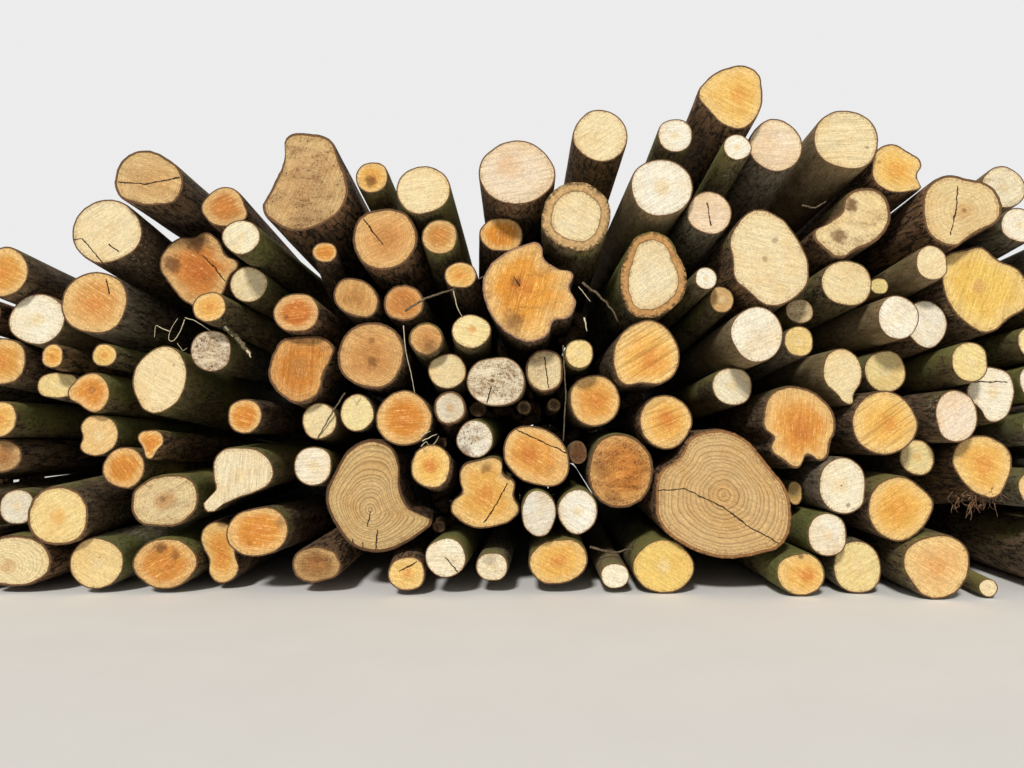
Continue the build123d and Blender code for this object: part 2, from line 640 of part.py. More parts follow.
def main():
    """Settles the stack, builds every log and writes one STEP file for each set of logs."""
    os.makedirs("parts", exist_ok=True)
    stack = Stack(LOGS)
    stack.settle()
    solids = [build_log(stack, i) for i in range(stack.count)]
    box = Compound(solids).bounding_box()
    to_origin = Location((-(box.min.X + box.max.X) / 2, -(box.min.Y + box.max.Y) / 2, -box.min.Z))
    for name, members in share_out(LOGS).items():
        export_step(Compound([to_origin * solids[i] for i in members]), f"parts/{name}.step")


main()
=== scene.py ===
"""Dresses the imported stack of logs: sawn ends with rings and splits, rough and mossy bark, and loose twigs.

Everything is in metres in the row frame: +X along the stack, +Y from the front ends to the far ends, +Z up.
"""

import logging
import math
from dataclasses import dataclass, field
from enum import Enum
from itertools import zip_longest
from typing import Optional, Sequence, Union

import bpy
import numpy as np
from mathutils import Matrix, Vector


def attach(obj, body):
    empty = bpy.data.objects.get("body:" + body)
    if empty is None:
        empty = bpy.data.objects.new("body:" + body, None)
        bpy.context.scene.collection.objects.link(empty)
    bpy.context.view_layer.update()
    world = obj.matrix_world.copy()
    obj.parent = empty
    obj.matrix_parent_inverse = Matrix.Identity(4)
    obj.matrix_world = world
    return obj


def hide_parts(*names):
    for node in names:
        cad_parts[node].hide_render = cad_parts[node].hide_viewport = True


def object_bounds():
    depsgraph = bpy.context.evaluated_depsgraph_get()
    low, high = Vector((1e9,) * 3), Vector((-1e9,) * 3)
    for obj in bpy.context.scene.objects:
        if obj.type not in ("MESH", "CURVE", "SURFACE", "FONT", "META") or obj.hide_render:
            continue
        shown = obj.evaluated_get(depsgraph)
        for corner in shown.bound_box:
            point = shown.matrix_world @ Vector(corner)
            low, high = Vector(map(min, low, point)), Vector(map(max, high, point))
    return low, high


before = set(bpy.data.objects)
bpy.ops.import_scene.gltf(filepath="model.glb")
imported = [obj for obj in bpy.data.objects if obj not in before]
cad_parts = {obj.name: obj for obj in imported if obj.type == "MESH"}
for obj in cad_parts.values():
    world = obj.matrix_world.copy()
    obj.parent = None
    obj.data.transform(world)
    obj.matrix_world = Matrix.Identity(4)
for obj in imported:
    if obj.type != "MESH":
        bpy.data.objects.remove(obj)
CAD_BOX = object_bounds()

logging.basicConfig(level=logging.INFO, format="%(message)s")
log = logging.getLogger("log_stack")

Number = Union[float, "Wire"]


def linear(code: str) -> tuple[float, float, float, float]:
    """Gives a colour written as six hex digits in linear light, with full alpha.

    Args:
        code: The colour as RRGGBB.

    Returns:
        Red, green, blue and alpha.
    """
    parts = [int(code[i:i + 2], 16) / 255 for i in (0, 2, 4)]
    return tuple(c / 12.92 if c < 0.04045 else ((c + 0.055) / 1.055) ** 2.4 for c in parts) + (1.0,)


# How wide a pixel of the picture is at the front ends in metres, the picture in pixels, and the sensor in mm
PIXEL = 0.005
PICTURE_WIDTH = 1024.0
SENSOR_WIDTH = 36.0
# What stands in for zero where something is divided by it: a length, a squared length and an area, in metres
LEAST_LENGTH = 1e-4
LEAST_SQUARE = 1e-6
LEAST_AREA = 1e-12
# How far a saw cut may lean, as a slope, and how far inside the CAD's end its middle lies, as a multiple of
# that slope times the radius
SAW_LEAN = 0.022
SAW_BITE = 1.6
# The bumps on a cut end: how many a metre, how high in metres, and where the end cuts through their noise
END_BUMPS = 16.0
END_RELIEF = 0.003
END_SLICE = 3.7
# The pith's farthest place, against the least radius
PITH_REACH = 0.45
# Where the side has rings of points, in metres: from the front end, from the far end, and evenly in between,
# where RUN_MIDDLE gives the first one's distance from the front end and the last one's from the far end
RUN_FROM_FRONT = [0.0, 0.004, 0.014, 0.032, 0.06, 0.1, 0.15, 0.22, 0.3, 0.4, 0.52, 0.66]
RUN_MIDDLE = (0.83, 0.16)
MIDDLE_RINGS = 13
RUN_FROM_FAR = np.array([0.07, 0.02, 0.0])
# How far out the rings of points on a cut end are
FRONT_RINGS = np.array([0.11, 0.24, 0.38, 0.52, 0.66, 0.79, 0.9, 1.0])
FAR_RINGS = np.array([0.3, 0.65, 1.0])
# Points round a log: so many where its radius is below this, in metres, and otherwise the last number
ROUND_STEPS = ((0.095, 48), (0.17, 64))
MOST_STEPS = 96
# A face whose normal's share along the stack's depth is above this belongs to a cut end
ENDWISE = 0.9
# How many bumps the bark has a metre along x, y and z, fewest along the log, and how deep they go in metres
COARSE_BUMPS = np.array([22.0, 3.0, 22.0])
COARSE_DEPTH = 0.0032
MEDIUM_BUMPS = np.array([60.0, 9.0, 60.0])
MEDIUM_DEPTH = 0.002
SWELLS = np.array([5.0, 2.2, 5.0])
SWELL_DEPTH = 0.002
# How far from an end the bark's edge is chipped, and the most bark that counts for it, in metres. Then how
# many chips there are a metre, how deep they go against that bark, and the most that comes off a radius
CHIPPED = 0.012
EDGE_CHIPS = 45.0
CHIP_DEPTH = 0.45
MOST_INSET = 0.35
# The bark's thickness is its wood's, times the first of these plus the log's radius over the second, or
# times the third where that is less
THIN_BARK = 0.6
BARK_RADIUS = 0.3
THICK_BARK = 1.6
# Moss: its clumps a metre, and how much it varies from log to log, with the way up, and from clump to clump
MOSS_CLUMPS = np.array([6.0, 2.5, 6.0])
MOSS_BY_LOG = 0.12
MOSS_ON_TOP = 0.22
MOSS_BY_CLUMP = 0.6
# Large odd numbers that turn a grid corner and a seed into a number that looks random
CORNER_KEYS = np.array([73856093, 19349663, 83492791])
SEED_KEY = 2654435761
MIXING_KEY = 1274126177


def at_most(points: np.ndarray, limit: float) -> np.ndarray:
    """Shortens a vector to a limit where it is longer."""
    return points * min(1.0, limit / max(float(np.hypot(*points)), LEAST_LENGTH))


@dataclass(frozen=True)
class Noise:
    """A smooth noise: how many bumps a metre it has, its detail and its roughness."""

    scale: float
    detail: float = 2.0
    roughness: float = 0.5


class Wire:
    """A shader socket that takes part in arithmetic: each operation adds its Math node."""

    def __init__(self, tree: "Tree", socket: bpy.types.NodeSocket) -> None:
        """Wraps a socket of a tree."""
        self.tree = tree
        self.socket = socket

    def _math(self, operation: str, first: Number, second: Number = 0.0, clamp: bool = False) -> "Wire":
        """Adds one Math node and gives its result."""
        return self.tree.node("Math", {"operation": operation, "use_clamp": clamp}, {0: first, 1: second})

    def __add__(self, other: Number) -> "Wire":
        """Sum."""
        return self._math("ADD", self, other)

    def __radd__(self, other: Number) -> "Wire":
        """Sum with a number first."""
        return self._math("ADD", other, self)

    def __sub__(self, other: Number) -> "Wire":
        """Difference."""
        return self._math("SUBTRACT", self, other)

    def __rsub__(self, other: Number) -> "Wire":
        """Difference with a number first."""
        return self._math("SUBTRACT", other, self)

    def __mul__(self, other: Number) -> "Wire":
        """Product."""
        return self._math("MULTIPLY", self, other)

    def __rmul__(self, other: Number) -> "Wire":
        """Product with a number first."""
        return self._math("MULTIPLY", other, self)

    def __truediv__(self, other: Number) -> "Wire":
        """Quotient."""
        return self._math("DIVIDE", self, other)

    def __rtruediv__(self, other: Number) -> "Wire":
        """Quotient with a number first."""
        return self._math("DIVIDE", other, self)

    def __pow__(self, other: Number) -> "Wire":
        """Power."""
        return self._math("POWER", self, other)

    def __abs__(self) -> "Wire":
        """Size without sign."""
        return self._math("ABSOLUTE", self)

    def fraction(self) -> "Wire":
        """What is left of the value after its whole part."""
        return self._math("FRACT", self)

    def limited(self) -> "Wire":
        """The value held between 0 and 1."""
        return self._math("ADD", self, 0.0, clamp=True)

    def step(self, low: Number, high: Number) -> "Wire":
        """Rises smoothly from 0 to 1 as the value goes from low to high."""
        return self.tree.node("MapRange", {"interpolation_type": "SMOOTHSTEP"},
                              {"Value": self, "From Min": low, "From Max": high})


class Tree:
    """The node tree of one material or world."""

    def __init__(self, owner: Union[bpy.types.Material, bpy.types.World]) -> None:
        """Turns the owner's nodes on and keeps the node that ends in its output."""
        owner.use_nodes = True
        self.owner = owner
        self.nodes = owner.node_tree.nodes
        self.links = owner.node_tree.links
        self.shader = next(n for n in self.nodes if n.type in ("BSDF_PRINCIPLED", "BACKGROUND"))

    def node(self, kind: str, settings: dict, inputs: dict, output: Union[int, str] = 0) -> Wire:
        """Adds a node.

        Args:
            kind: The node's type without its ShaderNode prefix.
            settings: Properties that are set first.
            inputs: Values or wires for the sockets, by name or number.
            output: The socket that the result is taken from.

        Returns:
            The wrapped output socket.
        """
        node = self.nodes.new("ShaderNode" + kind)
        for key, value in settings.items():
            setattr(node, key, value)
        for key, value in inputs.items():
            if isinstance(value, Wire):
                self.links.new(value.socket, node.inputs[key])
            else:
                node.inputs[key].default_value = value
        return Wire(self, node.outputs[output])

    def attribute(self, name: str, output: str = "Fac") -> Wire:
        """The mesh attribute of that name."""
        return self.node("Attribute", {"attribute_name": name}, {}, output)

    def parts(self, name: str) -> list[Wire]:
        """The four numbers of a face's attribute."""
        colour = self.attribute(name, "Color")
        first = [self.node("SeparateColor", {}, {0: colour}, k) for k in range(3)]
        return first + [self.attribute(name, "Alpha")]

    def place(self, scale: tuple[float, float, float] = (1.0, 1.0, 1.0)) -> Wire:
        """Object coordinates, scaled."""
        coordinates = self.node("TexCoord", {}, {}, "Object")
        return self.vector("MULTIPLY", coordinates, scale)

    def noise(self, at: Wire, noise: Noise, output: str = "Fac") -> Wire:
        """The noise at a place, from 0 to 1."""
        return self.node("TexNoise", {"noise_dimensions": "3D"},
                         {"Vector": at, "Scale": noise.scale, "Detail": noise.detail,
                          "Roughness": noise.roughness}, output)

    def sway(self, at: Wire, noise: Noise) -> Wire:
        """The noise at a place, from -0.5 to 0.5."""
        return self.noise(at, noise) - 0.5

    def noise_along(self, value: Wire, detail: float) -> Wire:
        """Smooth noise from 0 to 1 that depends on one value."""
        return self.node("TexNoise", {"noise_dimensions": "1D"},
                         {"W": value, "Scale": 1.0, "Detail": detail})

    def vector(self, operation: str, first: Union[Wire, tuple], second: Union[Wire, tuple, None] = None,
               output: str = "Vector") -> Wire:
        """Adds one Vector Math node."""
        inputs: dict = {0: first}
        if second is not None:
            inputs[1] = second
        return self.node("VectorMath", {"operation": operation}, inputs, output)

    def mix(self, share: Number, first: Union[Wire, tuple], second: Union[Wire, tuple],
            how: str = "MIX") -> Wire:
        """Blends two colours."""
        return self.node("Mix", {"data_type": "RGBA", "blend_type": how}, {0: share, 6: first, 7: second}, 2)

    def times(self, first: Wire, second: Union[Wire, tuple]) -> Wire:
        """One colour seen through another."""
        return self.mix(1.0, first, second, "MULTIPLY")

    def finish(self, colour: Wire, roughness: Number, height: Wire, depth: float) -> bpy.types.Material:
        """Feeds the shader.

        Args:
            colour: The base colour.
            roughness: How rough it is.
            height: The relief from 0 to 1.
            depth: The relief's full height in metres.

        Returns:
            The material.
        """
        bump = self.node("Bump", {}, {"Strength": 1.0, "Distance": depth, "Height": height}, "Normal")
        self.links.new(colour.socket, self.shader.inputs["Base Color"])
        self.links.new(bump.socket, self.shader.inputs["Normal"])
        if isinstance(roughness, Wire):
            self.links.new(roughness.socket, self.shader.inputs["Roughness"])
        else:
            self.shader.inputs["Roughness"].default_value = roughness
        self.shader.inputs["Specular IOR Level"].default_value = SHINE
        return self.owner


# How strongly wood and bark reflect, against the usual 0.5
SHINE = 0.25

# Colours of sawn ends that all woods share
WARM_WOOD = linear("F3D6AA")
SAPWOOD = linear("F6D898")
# The painted highlight on torn fibres
TORN_FIBRE_HIGHLIGHT = linear("FBE09A")
DIRT = linear("947250")
SPECK = linear("5E4024")
CHIP = linear("6B4A2C")
# The dark blots' colour: staining, and painted shadow on some ends
STAIN_AND_SHADOW = linear("6A4020")
WOOD_EDGE = linear("B58A5C")
CRACK = linear("26170C")
INNER_SHADE = linear("5A3F28")
CAMBIUM = linear("4A2C16")
OUTER_BARK = linear("33271B")
CUT_MOSS = linear("68692F")

# Noises of sawn ends
FLECKS = Noise(170.0, 3.0, 0.6)
MOTTLES = Noise(58.0, 4.0, 0.65)
TONES = Noise(6.0, 3.0, 0.55)
SAP_WAVES = Noise(17.0, 3.0)
HEART_WAVES = Noise(24.0, 3.0)
SMEARS = Noise(1.0, 5.0, 0.65)
SPECKS = Noise(115.0)
CHIPS = Noise(95.0, 3.0, 0.6)
RING_WAVES = Noise(8.0)
FIBRES = Noise(1.0, 4.0, 0.65)
KERFS = Noise(1.0, 1.0)
STAIN_WAVES = Noise(42.0, 4.0)
CRACK_BENDS = Noise(34.0, 4.0, 0.65)
CRACK_WIDTHS = Noise(19.0)
BARK_EDGE = Noise(36.0, 4.0, 0.65)
BARK_GRAIN = Noise(70.0, 4.0, 0.65)
MOSS_EDGE = Noise(45.0, 4.0)

# How many smears, fibres and saw lines there are a metre, along x, y and z
SMEAR_SCALE = (9.0, 9.0, 21.0)
FIBRE_SCALE = (14.0, 14.0, 190.0)
KERF_SCALE = (3.0, 3.0, 74.0)
# A crack's least half width and what noise adds, and how far it strays from its line, in metres
CRACK_WIDTH = (0.0018, 0.0050)
CRACK_STRAY = (0.02, 0.0, 0.02)
# A face without a crack has a crack of no length: one whose length squared is below these isn't drawn
CRACK_LENGTH = (1e-5, 2e-5)
# The cut end's relief in metres, and what keeps a place's x and z alone
CUT_RELIEF = 0.0035
FLAT = (1.0, 0.0, 1.0)


@dataclass(frozen=True)
class CutWood:
    """A sawn end: growth rings, a coloured heart, fibres, saw lines, dark blots, cracks and cut bark.

    A face carries four numbers in each of its attributes: the wood's colour and how dirty it is, the heart's
    colour and its share of the radius, and how its rings and saw lines run. Dark blots and cracks are
    placed by attributes too: a blot is staining or a knot on most ends and painted shadow on some. What a
    face carries comes from its log's look, or else from here.

    Args:
        name: The wood's name.
        spacing: From one growth ring to the next, in metres.
        contrast: How strongly the rings show.
        heart: The heart's colour.
        core: The heart's share of the radius.
        saw: How strongly the saw's lines show.
        sap_and_highlight: How much lighter the wood is towards its edge, and how strongly the painted
            highlight on its torn fibres shows.
    """

    name: str
    spacing: float
    contrast: float
    heart: str
    core: float
    saw: float
    sap_and_highlight: float

    def build(self) -> bpy.types.Material:
        """Makes the material.

        Returns:
            The material, for the faces of a cut end.
        """
        tree = Tree(bpy.data.materials.new(self.name + "_cut"))
        here = tree.place()
        reach = tree.attribute("reach")
        tint = tree.attribute("tint", "Color")
        fleck = tree.noise(here, FLECKS)
        mottle = tree.noise(here, MOTTLES)
        ring, lines, fibre = self._grain(tree, here)

        colour = self._wood(tree, here, tint, reach)
        # A painted highlight: paler flecks where the fibres are torn
        torn_highlight = fibre.step(0.5, 0.68) * mottle.step(0.42, 0.6)
        colour = tree.mix(torn_highlight * self.sap_and_highlight, colour, TORN_FIBRE_HIGHLIGHT)
        fibre_shade = 0.86 + fibre.step(0.28, 0.72) * 0.26
        fleck_shade = 0.87 + fleck.step(0.32, 0.68) * 0.24
        mottle_shade = 0.93 + mottle.step(0.34, 0.66) * 0.14
        shade = (1.0 - ring) * (1.0 - lines * 0.13) * (fibre_shade * fleck_shade) * mottle_shade
        colour = tree.times(colour, self._shaded(tree, shade))

        colour = self._dirt(tree, here, colour, tint, mottle)
        chips = tree.noise(here, CHIPS).step(0.52, 0.6) * reach.step(0.82, 1.0)
        colour = tree.mix(chips * 0.55, colour, CHIP)
        # Dark blots: staining and knots, and painted shadow on some ends
        for name in STAIN_AND_SHADOW_NAMES:
            colour = tree.mix(self._stain_and_shadow(tree, here, name), colour, STAIN_AND_SHADOW)
        colour = tree.mix(reach.step(0.9, 1.0) * 0.22, colour, WOOD_EDGE)
        crack = self._cracks(tree, here)
        colour = tree.mix(crack, colour, CRACK)
        colour = self._bark_ring(tree, here, colour, reach - 1.0)
        relief = 0.6 + (fibre - 0.5) * 0.3 - ring * 0.5 - lines * 0.2 - crack * 0.6 + (fleck - 0.5) * 0.2
        return tree.finish(colour, 0.74 + fleck * 0.16, relief, CUT_RELIEF)

    def _wood(self, tree: Tree, here: Wire, tint: Wire, reach: Wire) -> Wire:
        """The bare wood: warmer in places, lighter towards the edge, and the heart with a ragged border."""
        warmth = tree.noise(here, TONES).step(0.4, 0.75) * 0.45
        colour = tree.mix(warmth, tint, tree.times(tint, WARM_WOOD))
        sapwood = (reach + tree.sway(here, SAP_WAVES) * 0.35).step(0.5, 1.0)
        colour = tree.mix(sapwood * self.sap_and_highlight, colour, SAPWOOD)
        core = tree.attribute("heart", "Alpha")
        spread = reach + tree.sway(here, HEART_WAVES) * 0.4
        heart = 1.0 - spread.step(core * 0.35, core * 1.35)
        return tree.mix(heart * 0.65, colour, tree.attribute("heart", "Color"))

    @staticmethod
    def _dirt(tree: Tree, here: Wire, colour: Wire, tint: Wire, mottle: Wire) -> Wire:
        """Smeared soil and dark specks, as much as the face says."""
        soil = tree.attribute("tint", "Alpha")
        smear = tree.noise(tree.place(SMEAR_SCALE), SMEARS)
        grime = (smear + soil * 0.5 - 0.66).step(0.0, 0.3)
        smeared = grime * (0.3 + mottle.step(0.44, 0.58) * 0.5)
        colour = tree.mix(smeared, colour, tree.times(tint, DIRT))
        specks = tree.noise(here, SPECKS).step(0.56, 0.63) * soil.step(0.15, 0.6)
        return tree.mix(specks * smear.step(0.38, 0.56) * 0.8, colour, SPECK)

    @staticmethod
    def _shaded(tree: Tree, shade: Wire) -> Wire:
        """A grey that turns warmer as it darkens."""
        return tree.node("CombineColor", {}, {0: shade, 1: shade ** 1.06, 2: shade ** 1.16})

    @staticmethod
    def _grain(tree: Tree, here: Wire) -> tuple[Wire, Wire, Wire]:
        """The late wood of the rings, the saw's lines and the torn fibres between them, each from 0 to 1.

        A ring darkens slowly outwards and ends sharply. Its spacing wanders with the radius. The lines and
        the fibres run across the end at the angle that the face says.
        """
        spacing, contrast, saw, angle = tree.parts("grain")
        uv = tree.node("UVMap", {"uv_map": "end"}, {}, "UV")
        radius = tree.vector("LENGTH", uv, None, "Value") + tree.sway(here, RING_WAVES) * 0.02
        count = radius / spacing
        phase = (count + tree.noise_along(count * 0.45, 1.0) * 1.9).fraction()
        late = phase ** 3.0 * (1.0 - phase.step(0.9, 1.0))
        fine = (count * 3.0 + tree.noise_along(count * 1.3, 1.0)).fraction() ** 2.0
        strength = 0.55 + 0.9 * tree.noise_along(count * 0.8, 0.0)
        ring = (late * strength + fine * 0.22) * contrast
        turned = tree.node("VectorRotate", {"rotation_type": "Y_AXIS"}, {"Vector": here, "Angle": angle})
        fibre = tree.noise(tree.vector("MULTIPLY", turned, FIBRE_SCALE), FIBRES)
        kerf = tree.noise(tree.vector("MULTIPLY", turned, KERF_SCALE), KERFS)
        return ring, kerf.step(0.5, 0.62) * saw, fibre

    @staticmethod
    def _stain_and_shadow(tree: Tree, here: Wire, name: str) -> Wire:
        """Staining, a knot or painted shadow: its attribute gives the middle (x, z), the radius and the
        strength.
        """
        x, z, radius, strength = tree.parts(name)
        middle = tree.node("CombineXYZ", {}, {0: x, 2: z})
        away = tree.vector("DISTANCE", tree.vector("MULTIPLY", here, FLAT), middle, "Value")
        size = away / (radius + LEAST_LENGTH) + tree.sway(here, STAIN_WAVES) * 1.3
        return (1.0 - size.step(0.35, 1.1)) * strength

    @staticmethod
    def _cracks(tree: Tree, here: Wire) -> Wire:
        """The open cracks: each attribute gives the two ends of a straight one, as x, z, x, z."""
        jitter = tree.noise(here, CRACK_BENDS, "Color")
        stray = tree.vector("MULTIPLY", tree.vector("SUBTRACT", jitter, (0.5, 0.5, 0.5)), CRACK_STRAY)
        flat = tree.vector("MULTIPLY", tree.vector("ADD", here, stray), FLAT)
        width = CRACK_WIDTH[0] + CRACK_WIDTH[1] * tree.noise(here, CRACK_WIDTHS)
        total: Number = 0.0
        for name in CRACK_NAMES:
            x0, z0, x1, z1 = tree.parts(name)
            begin = tree.node("CombineXYZ", {}, {0: x0, 2: z0})
            end = tree.node("CombineXYZ", {}, {0: x1, 2: z1})
            run = tree.vector("SUBTRACT", end, begin)
            offset = tree.vector("SUBTRACT", flat, begin)
            length = tree.vector("DOT_PRODUCT", run, run, "Value") + LEAST_SQUARE
            share = (tree.vector("DOT_PRODUCT", offset, run, "Value") / length).limited()
            along = tree.node("VectorMath", {"operation": "SCALE"}, {0: run, "Scale": share})
            gap = tree.vector("LENGTH", tree.vector("SUBTRACT", offset, along), None, "Value")
            total = total + (1.0 - (gap / width).step(0.35, 1.0)) * length.step(*CRACK_LENGTH)
        return total.limited()

    @staticmethod
    def _bark_ring(tree: Tree, here: Wire, colour: Wire, out: Wire) -> Wire:
        """The cut bark round the wood: a dark line, the inner bark, a broken outer edge and moss."""
        out = out + tree.sway(here, BARK_EDGE) * 0.8 * out.step(0.0, 0.3)
        rough = tree.noise(here, BARK_GRAIN)
        inner = tree.mix(rough.step(0.3, 0.7) * 0.5, tree.attribute("inner_bark", "Color"), INNER_SHADE)
        colour = tree.mix(out.step(0.0, 0.06), colour, inner)
        line = out.step(0.0, 0.04) * (1.0 - out.step(0.08, 0.2))
        colour = tree.mix(line * 0.6, colour, CAMBIUM)
        colour = tree.mix(out.step(0.55, 0.95) * rough.step(0.3, 0.6) * 0.9, colour, OUTER_BARK)
        moss = (tree.attribute("moss") + tree.sway(here, MOSS_EDGE) * 0.6).step(0.5, 0.8)
        return tree.mix(moss * out.step(0.2, 0.7) * 0.9, colour, CUT_MOSS)


# Colours of bark that all woods share
WORN_DOWN = linear("A89078")
PALE_SKIN = linear("A59A7E")
BARK_FLECK = linear("B3A486")
LICHEN = linear("C2C3B0")
MOSS_DARK = linear("54562A")
MOSS_LIGHT = linear("8F9350")
MOSS_DRY = linear("8A8046")
BARE_DARK = linear("8A5A30")
BARE_LIGHT = linear("C08A52")

# Noises of bark
PATCHES = Noise(3.4, 4.0, 0.6)
SKINS = Noise(13.0, 4.0, 0.6)
BARK_FLECKS = Noise(88.0, 3.0, 0.6)
LICHEN_PATCHES = Noise(4.3, 3.0)
TUFTS = Noise(52.0, 4.0, 0.7)
MOSS_PATCHES = Noise(6.5, 4.0, 0.6)
DRY_PATCHES = Noise(2.6, 1.0)
BARE_EDGE = Noise(24.0, 3.0)
FISSURE_BENDS = Noise(8.0, 3.0)
CROSS_CRACKS = Noise(12.0, 3.0, 0.6)
FINE_BARK = Noise(220.0, 3.0, 0.6)

# How much the bark's pattern is drawn out along the log (y)
SKIN_SCALE = (1.0, 0.5, 1.0)
FISSURE_SCALE = (1.0, 0.17, 1.0)
CROSS_SCALE = (1.0, 1.3, 1.0)
FISSURE_STRAY = (0.05, 0.05, 0.05)
BARK_ROUGHNESS = 0.85


@dataclass(frozen=True)
class Bark:
    """Bark: fissures and flakes that run along the log, with lichen and moss where the mesh says.

    A face carries the bark's colour and how rough it is, from 0 for smooth skin to 1 for deep furrows.

    Args:
        name: The wood's name.
        furrow: The colour at the bottom of its furrows, which is partly its own and partly painted shade.
        fissures: How many it has a metre, round the log.
        depth: The relief's full height in metres.
        lichen: How strongly its lichen shows.
    """

    name: str
    furrow: str
    fissures: float
    depth: float
    lichen: float

    def build(self) -> bpy.types.Material:
        """Makes the material.

        Returns:
            The material, for the sides of a log.
        """
        tree = Tree(bpy.data.materials.new(self.name + "_bark"))
        here = tree.place()
        coat = tree.attribute("coat", "Color")
        rough = tree.attribute("coat", "Alpha")
        grain, furrow, fine = self._relief(tree, here)
        height = 0.5 + (grain - 0.5) * (0.5 + rough * 0.8) - furrow * rough * 0.42 + (fine - 0.5) * 0.12
        # Darker towards the bottom of the furrows: partly the bark's own colour, partly painted shade
        colour = tree.mix(height.step(0.12, 0.7), linear(self.furrow), coat)
        patch = tree.noise(here, PATCHES).step(0.35, 0.7) * 0.5
        colour = tree.mix(patch, colour, tree.times(colour, WORN_DOWN))
        pale = tree.noise(tree.place(SKIN_SCALE), SKINS).step(0.52, 0.68) * (1.0 - rough * 0.75)
        colour = tree.mix(pale * 0.4, colour, PALE_SKIN)
        colour = tree.mix(tree.noise(here, BARK_FLECKS).step(0.55, 0.66) * 0.4, colour, BARK_FLECK)
        spots = tree.node("TexVoronoi", {"feature": "SMOOTH_F1"},
                          {"Vector": here, "Scale": 44.0, "Smoothness": 0.4})
        grown = tree.noise(here, LICHEN_PATCHES).step(0.5, 0.7)
        colour = tree.mix((1.0 - spots.step(0.16, 0.34)) * grown * self.lichen, colour, LICHEN)
        tuft = tree.noise(here, TUFTS)
        cover = tree.attribute("moss") * 1.25 + tree.sway(here, MOSS_PATCHES) + (tuft - 0.5) * 0.6
        cover = cover.step(0.4, 0.8)
        green = tree.mix(tuft.step(0.3, 0.75), MOSS_DARK, MOSS_LIGHT)
        green = tree.mix(tree.noise(here, DRY_PATCHES).step(0.35, 0.7), green, MOSS_DRY)
        colour = tree.mix(cover * 0.8, colour, green)
        bare = (tree.attribute("worn") + tree.sway(here, BARE_EDGE) * 0.8).step(0.62, 0.8)
        colour = tree.mix(bare, colour, tree.mix(grain.step(0.3, 0.7), BARE_DARK, BARE_LIGHT))
        relief = height * (1.0 - cover * 0.6) + tuft * cover * 0.6
        return tree.finish(colour, BARK_ROUGHNESS, relief, self.depth)

    def _relief(self, tree: Tree, here: Wire) -> tuple[Wire, Wire, Wire]:
        """Flakes drawn out along the log, thin fissures between them, and fine roughness, each from 0 to 1.

        A fissure is where a stretched noise passes its middle value, so fissures wander, join and end.
        """
        long_way = tree.place(FISSURE_SCALE)
        bend = tree.noise(long_way, FISSURE_BENDS, "Color")
        bent = tree.vector("ADD", long_way, tree.vector("MULTIPLY", bend, FISSURE_STRAY))
        grain = tree.noise(bent, Noise(self.fissures * 2.2, 5.0, 0.7))
        furrow = 1.0 - abs(tree.sway(bent, Noise(self.fissures, 3.0, 0.6))).step(0.004, 0.055)
        cross = 1.0 - abs(tree.sway(tree.place(CROSS_SCALE), CROSS_CRACKS)).step(0.0, 0.016)
        return grain, (furrow + cross * 0.5).limited(), tree.noise(here, FINE_BARK)


class Wood(Enum):
    """The woods in the stack, by their nodes' first word."""

    ASH = "ash"
    ALDER = "alder"
    BIRCH = "birch"
    SPRUCE = "spruce"
    OAK = "oak"


class Coat(Enum):
    """Kinds of bark: its colour, how rough it is and how much moss grows on it."""

    DARK = ("8C7358", 0.9, 0.16)
    BROWN = ("A17C58", 1.0, 0.06)
    MOSSY = ("887A52", 0.7, 0.5)
    SMOOTH = ("AB956C", 0.25, 0.16)
    GREY = ("9A907C", 0.6, 0.22)


# How bright the sky lights the stack and how bright it shows behind it, and the key light
SKY_LIGHT = 0.33
SKY_SEEN = 0.84
KEY_LIGHT = 2.5
KEY_SIZE = math.radians(9.0)
KEY_TURN = (math.radians(50.0), 0.0, math.radians(-16.0))
KEY_COLOUR = (1.0, 0.97, 0.92)

CRACK_NAMES = ("crack_1", "crack_2", "crack_3", "crack_4")
STAIN_AND_SHADOW_NAMES = ("stain_and_shadow_1", "stain_and_shadow_2")
# What a face carries where it has no such crack or blot
NOTHING = (0.0, 0.0, 0.0, 0.0)
CUTS = {
    Wood.ASH: CutWood("ash", 0.0095, 0.17, "EFD6A4", 0.30, 0.35, 0.15),
    Wood.ALDER: CutWood("alder", 0.0105, 0.20, "DC8A40", 0.34, 0.5, 0.6),
    Wood.BIRCH: CutWood("birch", 0.0085, 0.10, "EFE0BC", 0.22, 0.3, 0.0),
    Wood.SPRUCE: CutWood("spruce", 0.0170, 0.42, "D2A468", 0.3, 0.25, 0.15),
    Wood.OAK: CutWood("oak", 0.0115, 0.28, "C08346", 0.4, 0.4, 0.3),
}
# The furrow colour, second, is partly the bark's own and partly painted shade
BARKS = {
    Wood.ASH: Bark("ash", "3A3023", 34.0, 0.006, 0.7),
    Wood.ALDER: Bark("alder", "35281B", 28.0, 0.008, 0.5),
    Wood.BIRCH: Bark("birch", "3B3124", 36.0, 0.005, 0.6),
    Wood.SPRUCE: Bark("spruce", "382617", 24.0, 0.010, 0.3),
    Wood.OAK: Bark("oak", "2E2318", 20.0, 0.012, 0.4),
}
COATS = {
    Wood.ASH: (Coat.GREY, Coat.SMOOTH, Coat.MOSSY, Coat.GREY),
    Wood.ALDER: (Coat.DARK, Coat.MOSSY, Coat.DARK, Coat.BROWN),
    Wood.BIRCH: (Coat.MOSSY, Coat.SMOOTH),
    Wood.SPRUCE: (Coat.BROWN,),
    Wood.OAK: (Coat.DARK, Coat.BROWN),
}
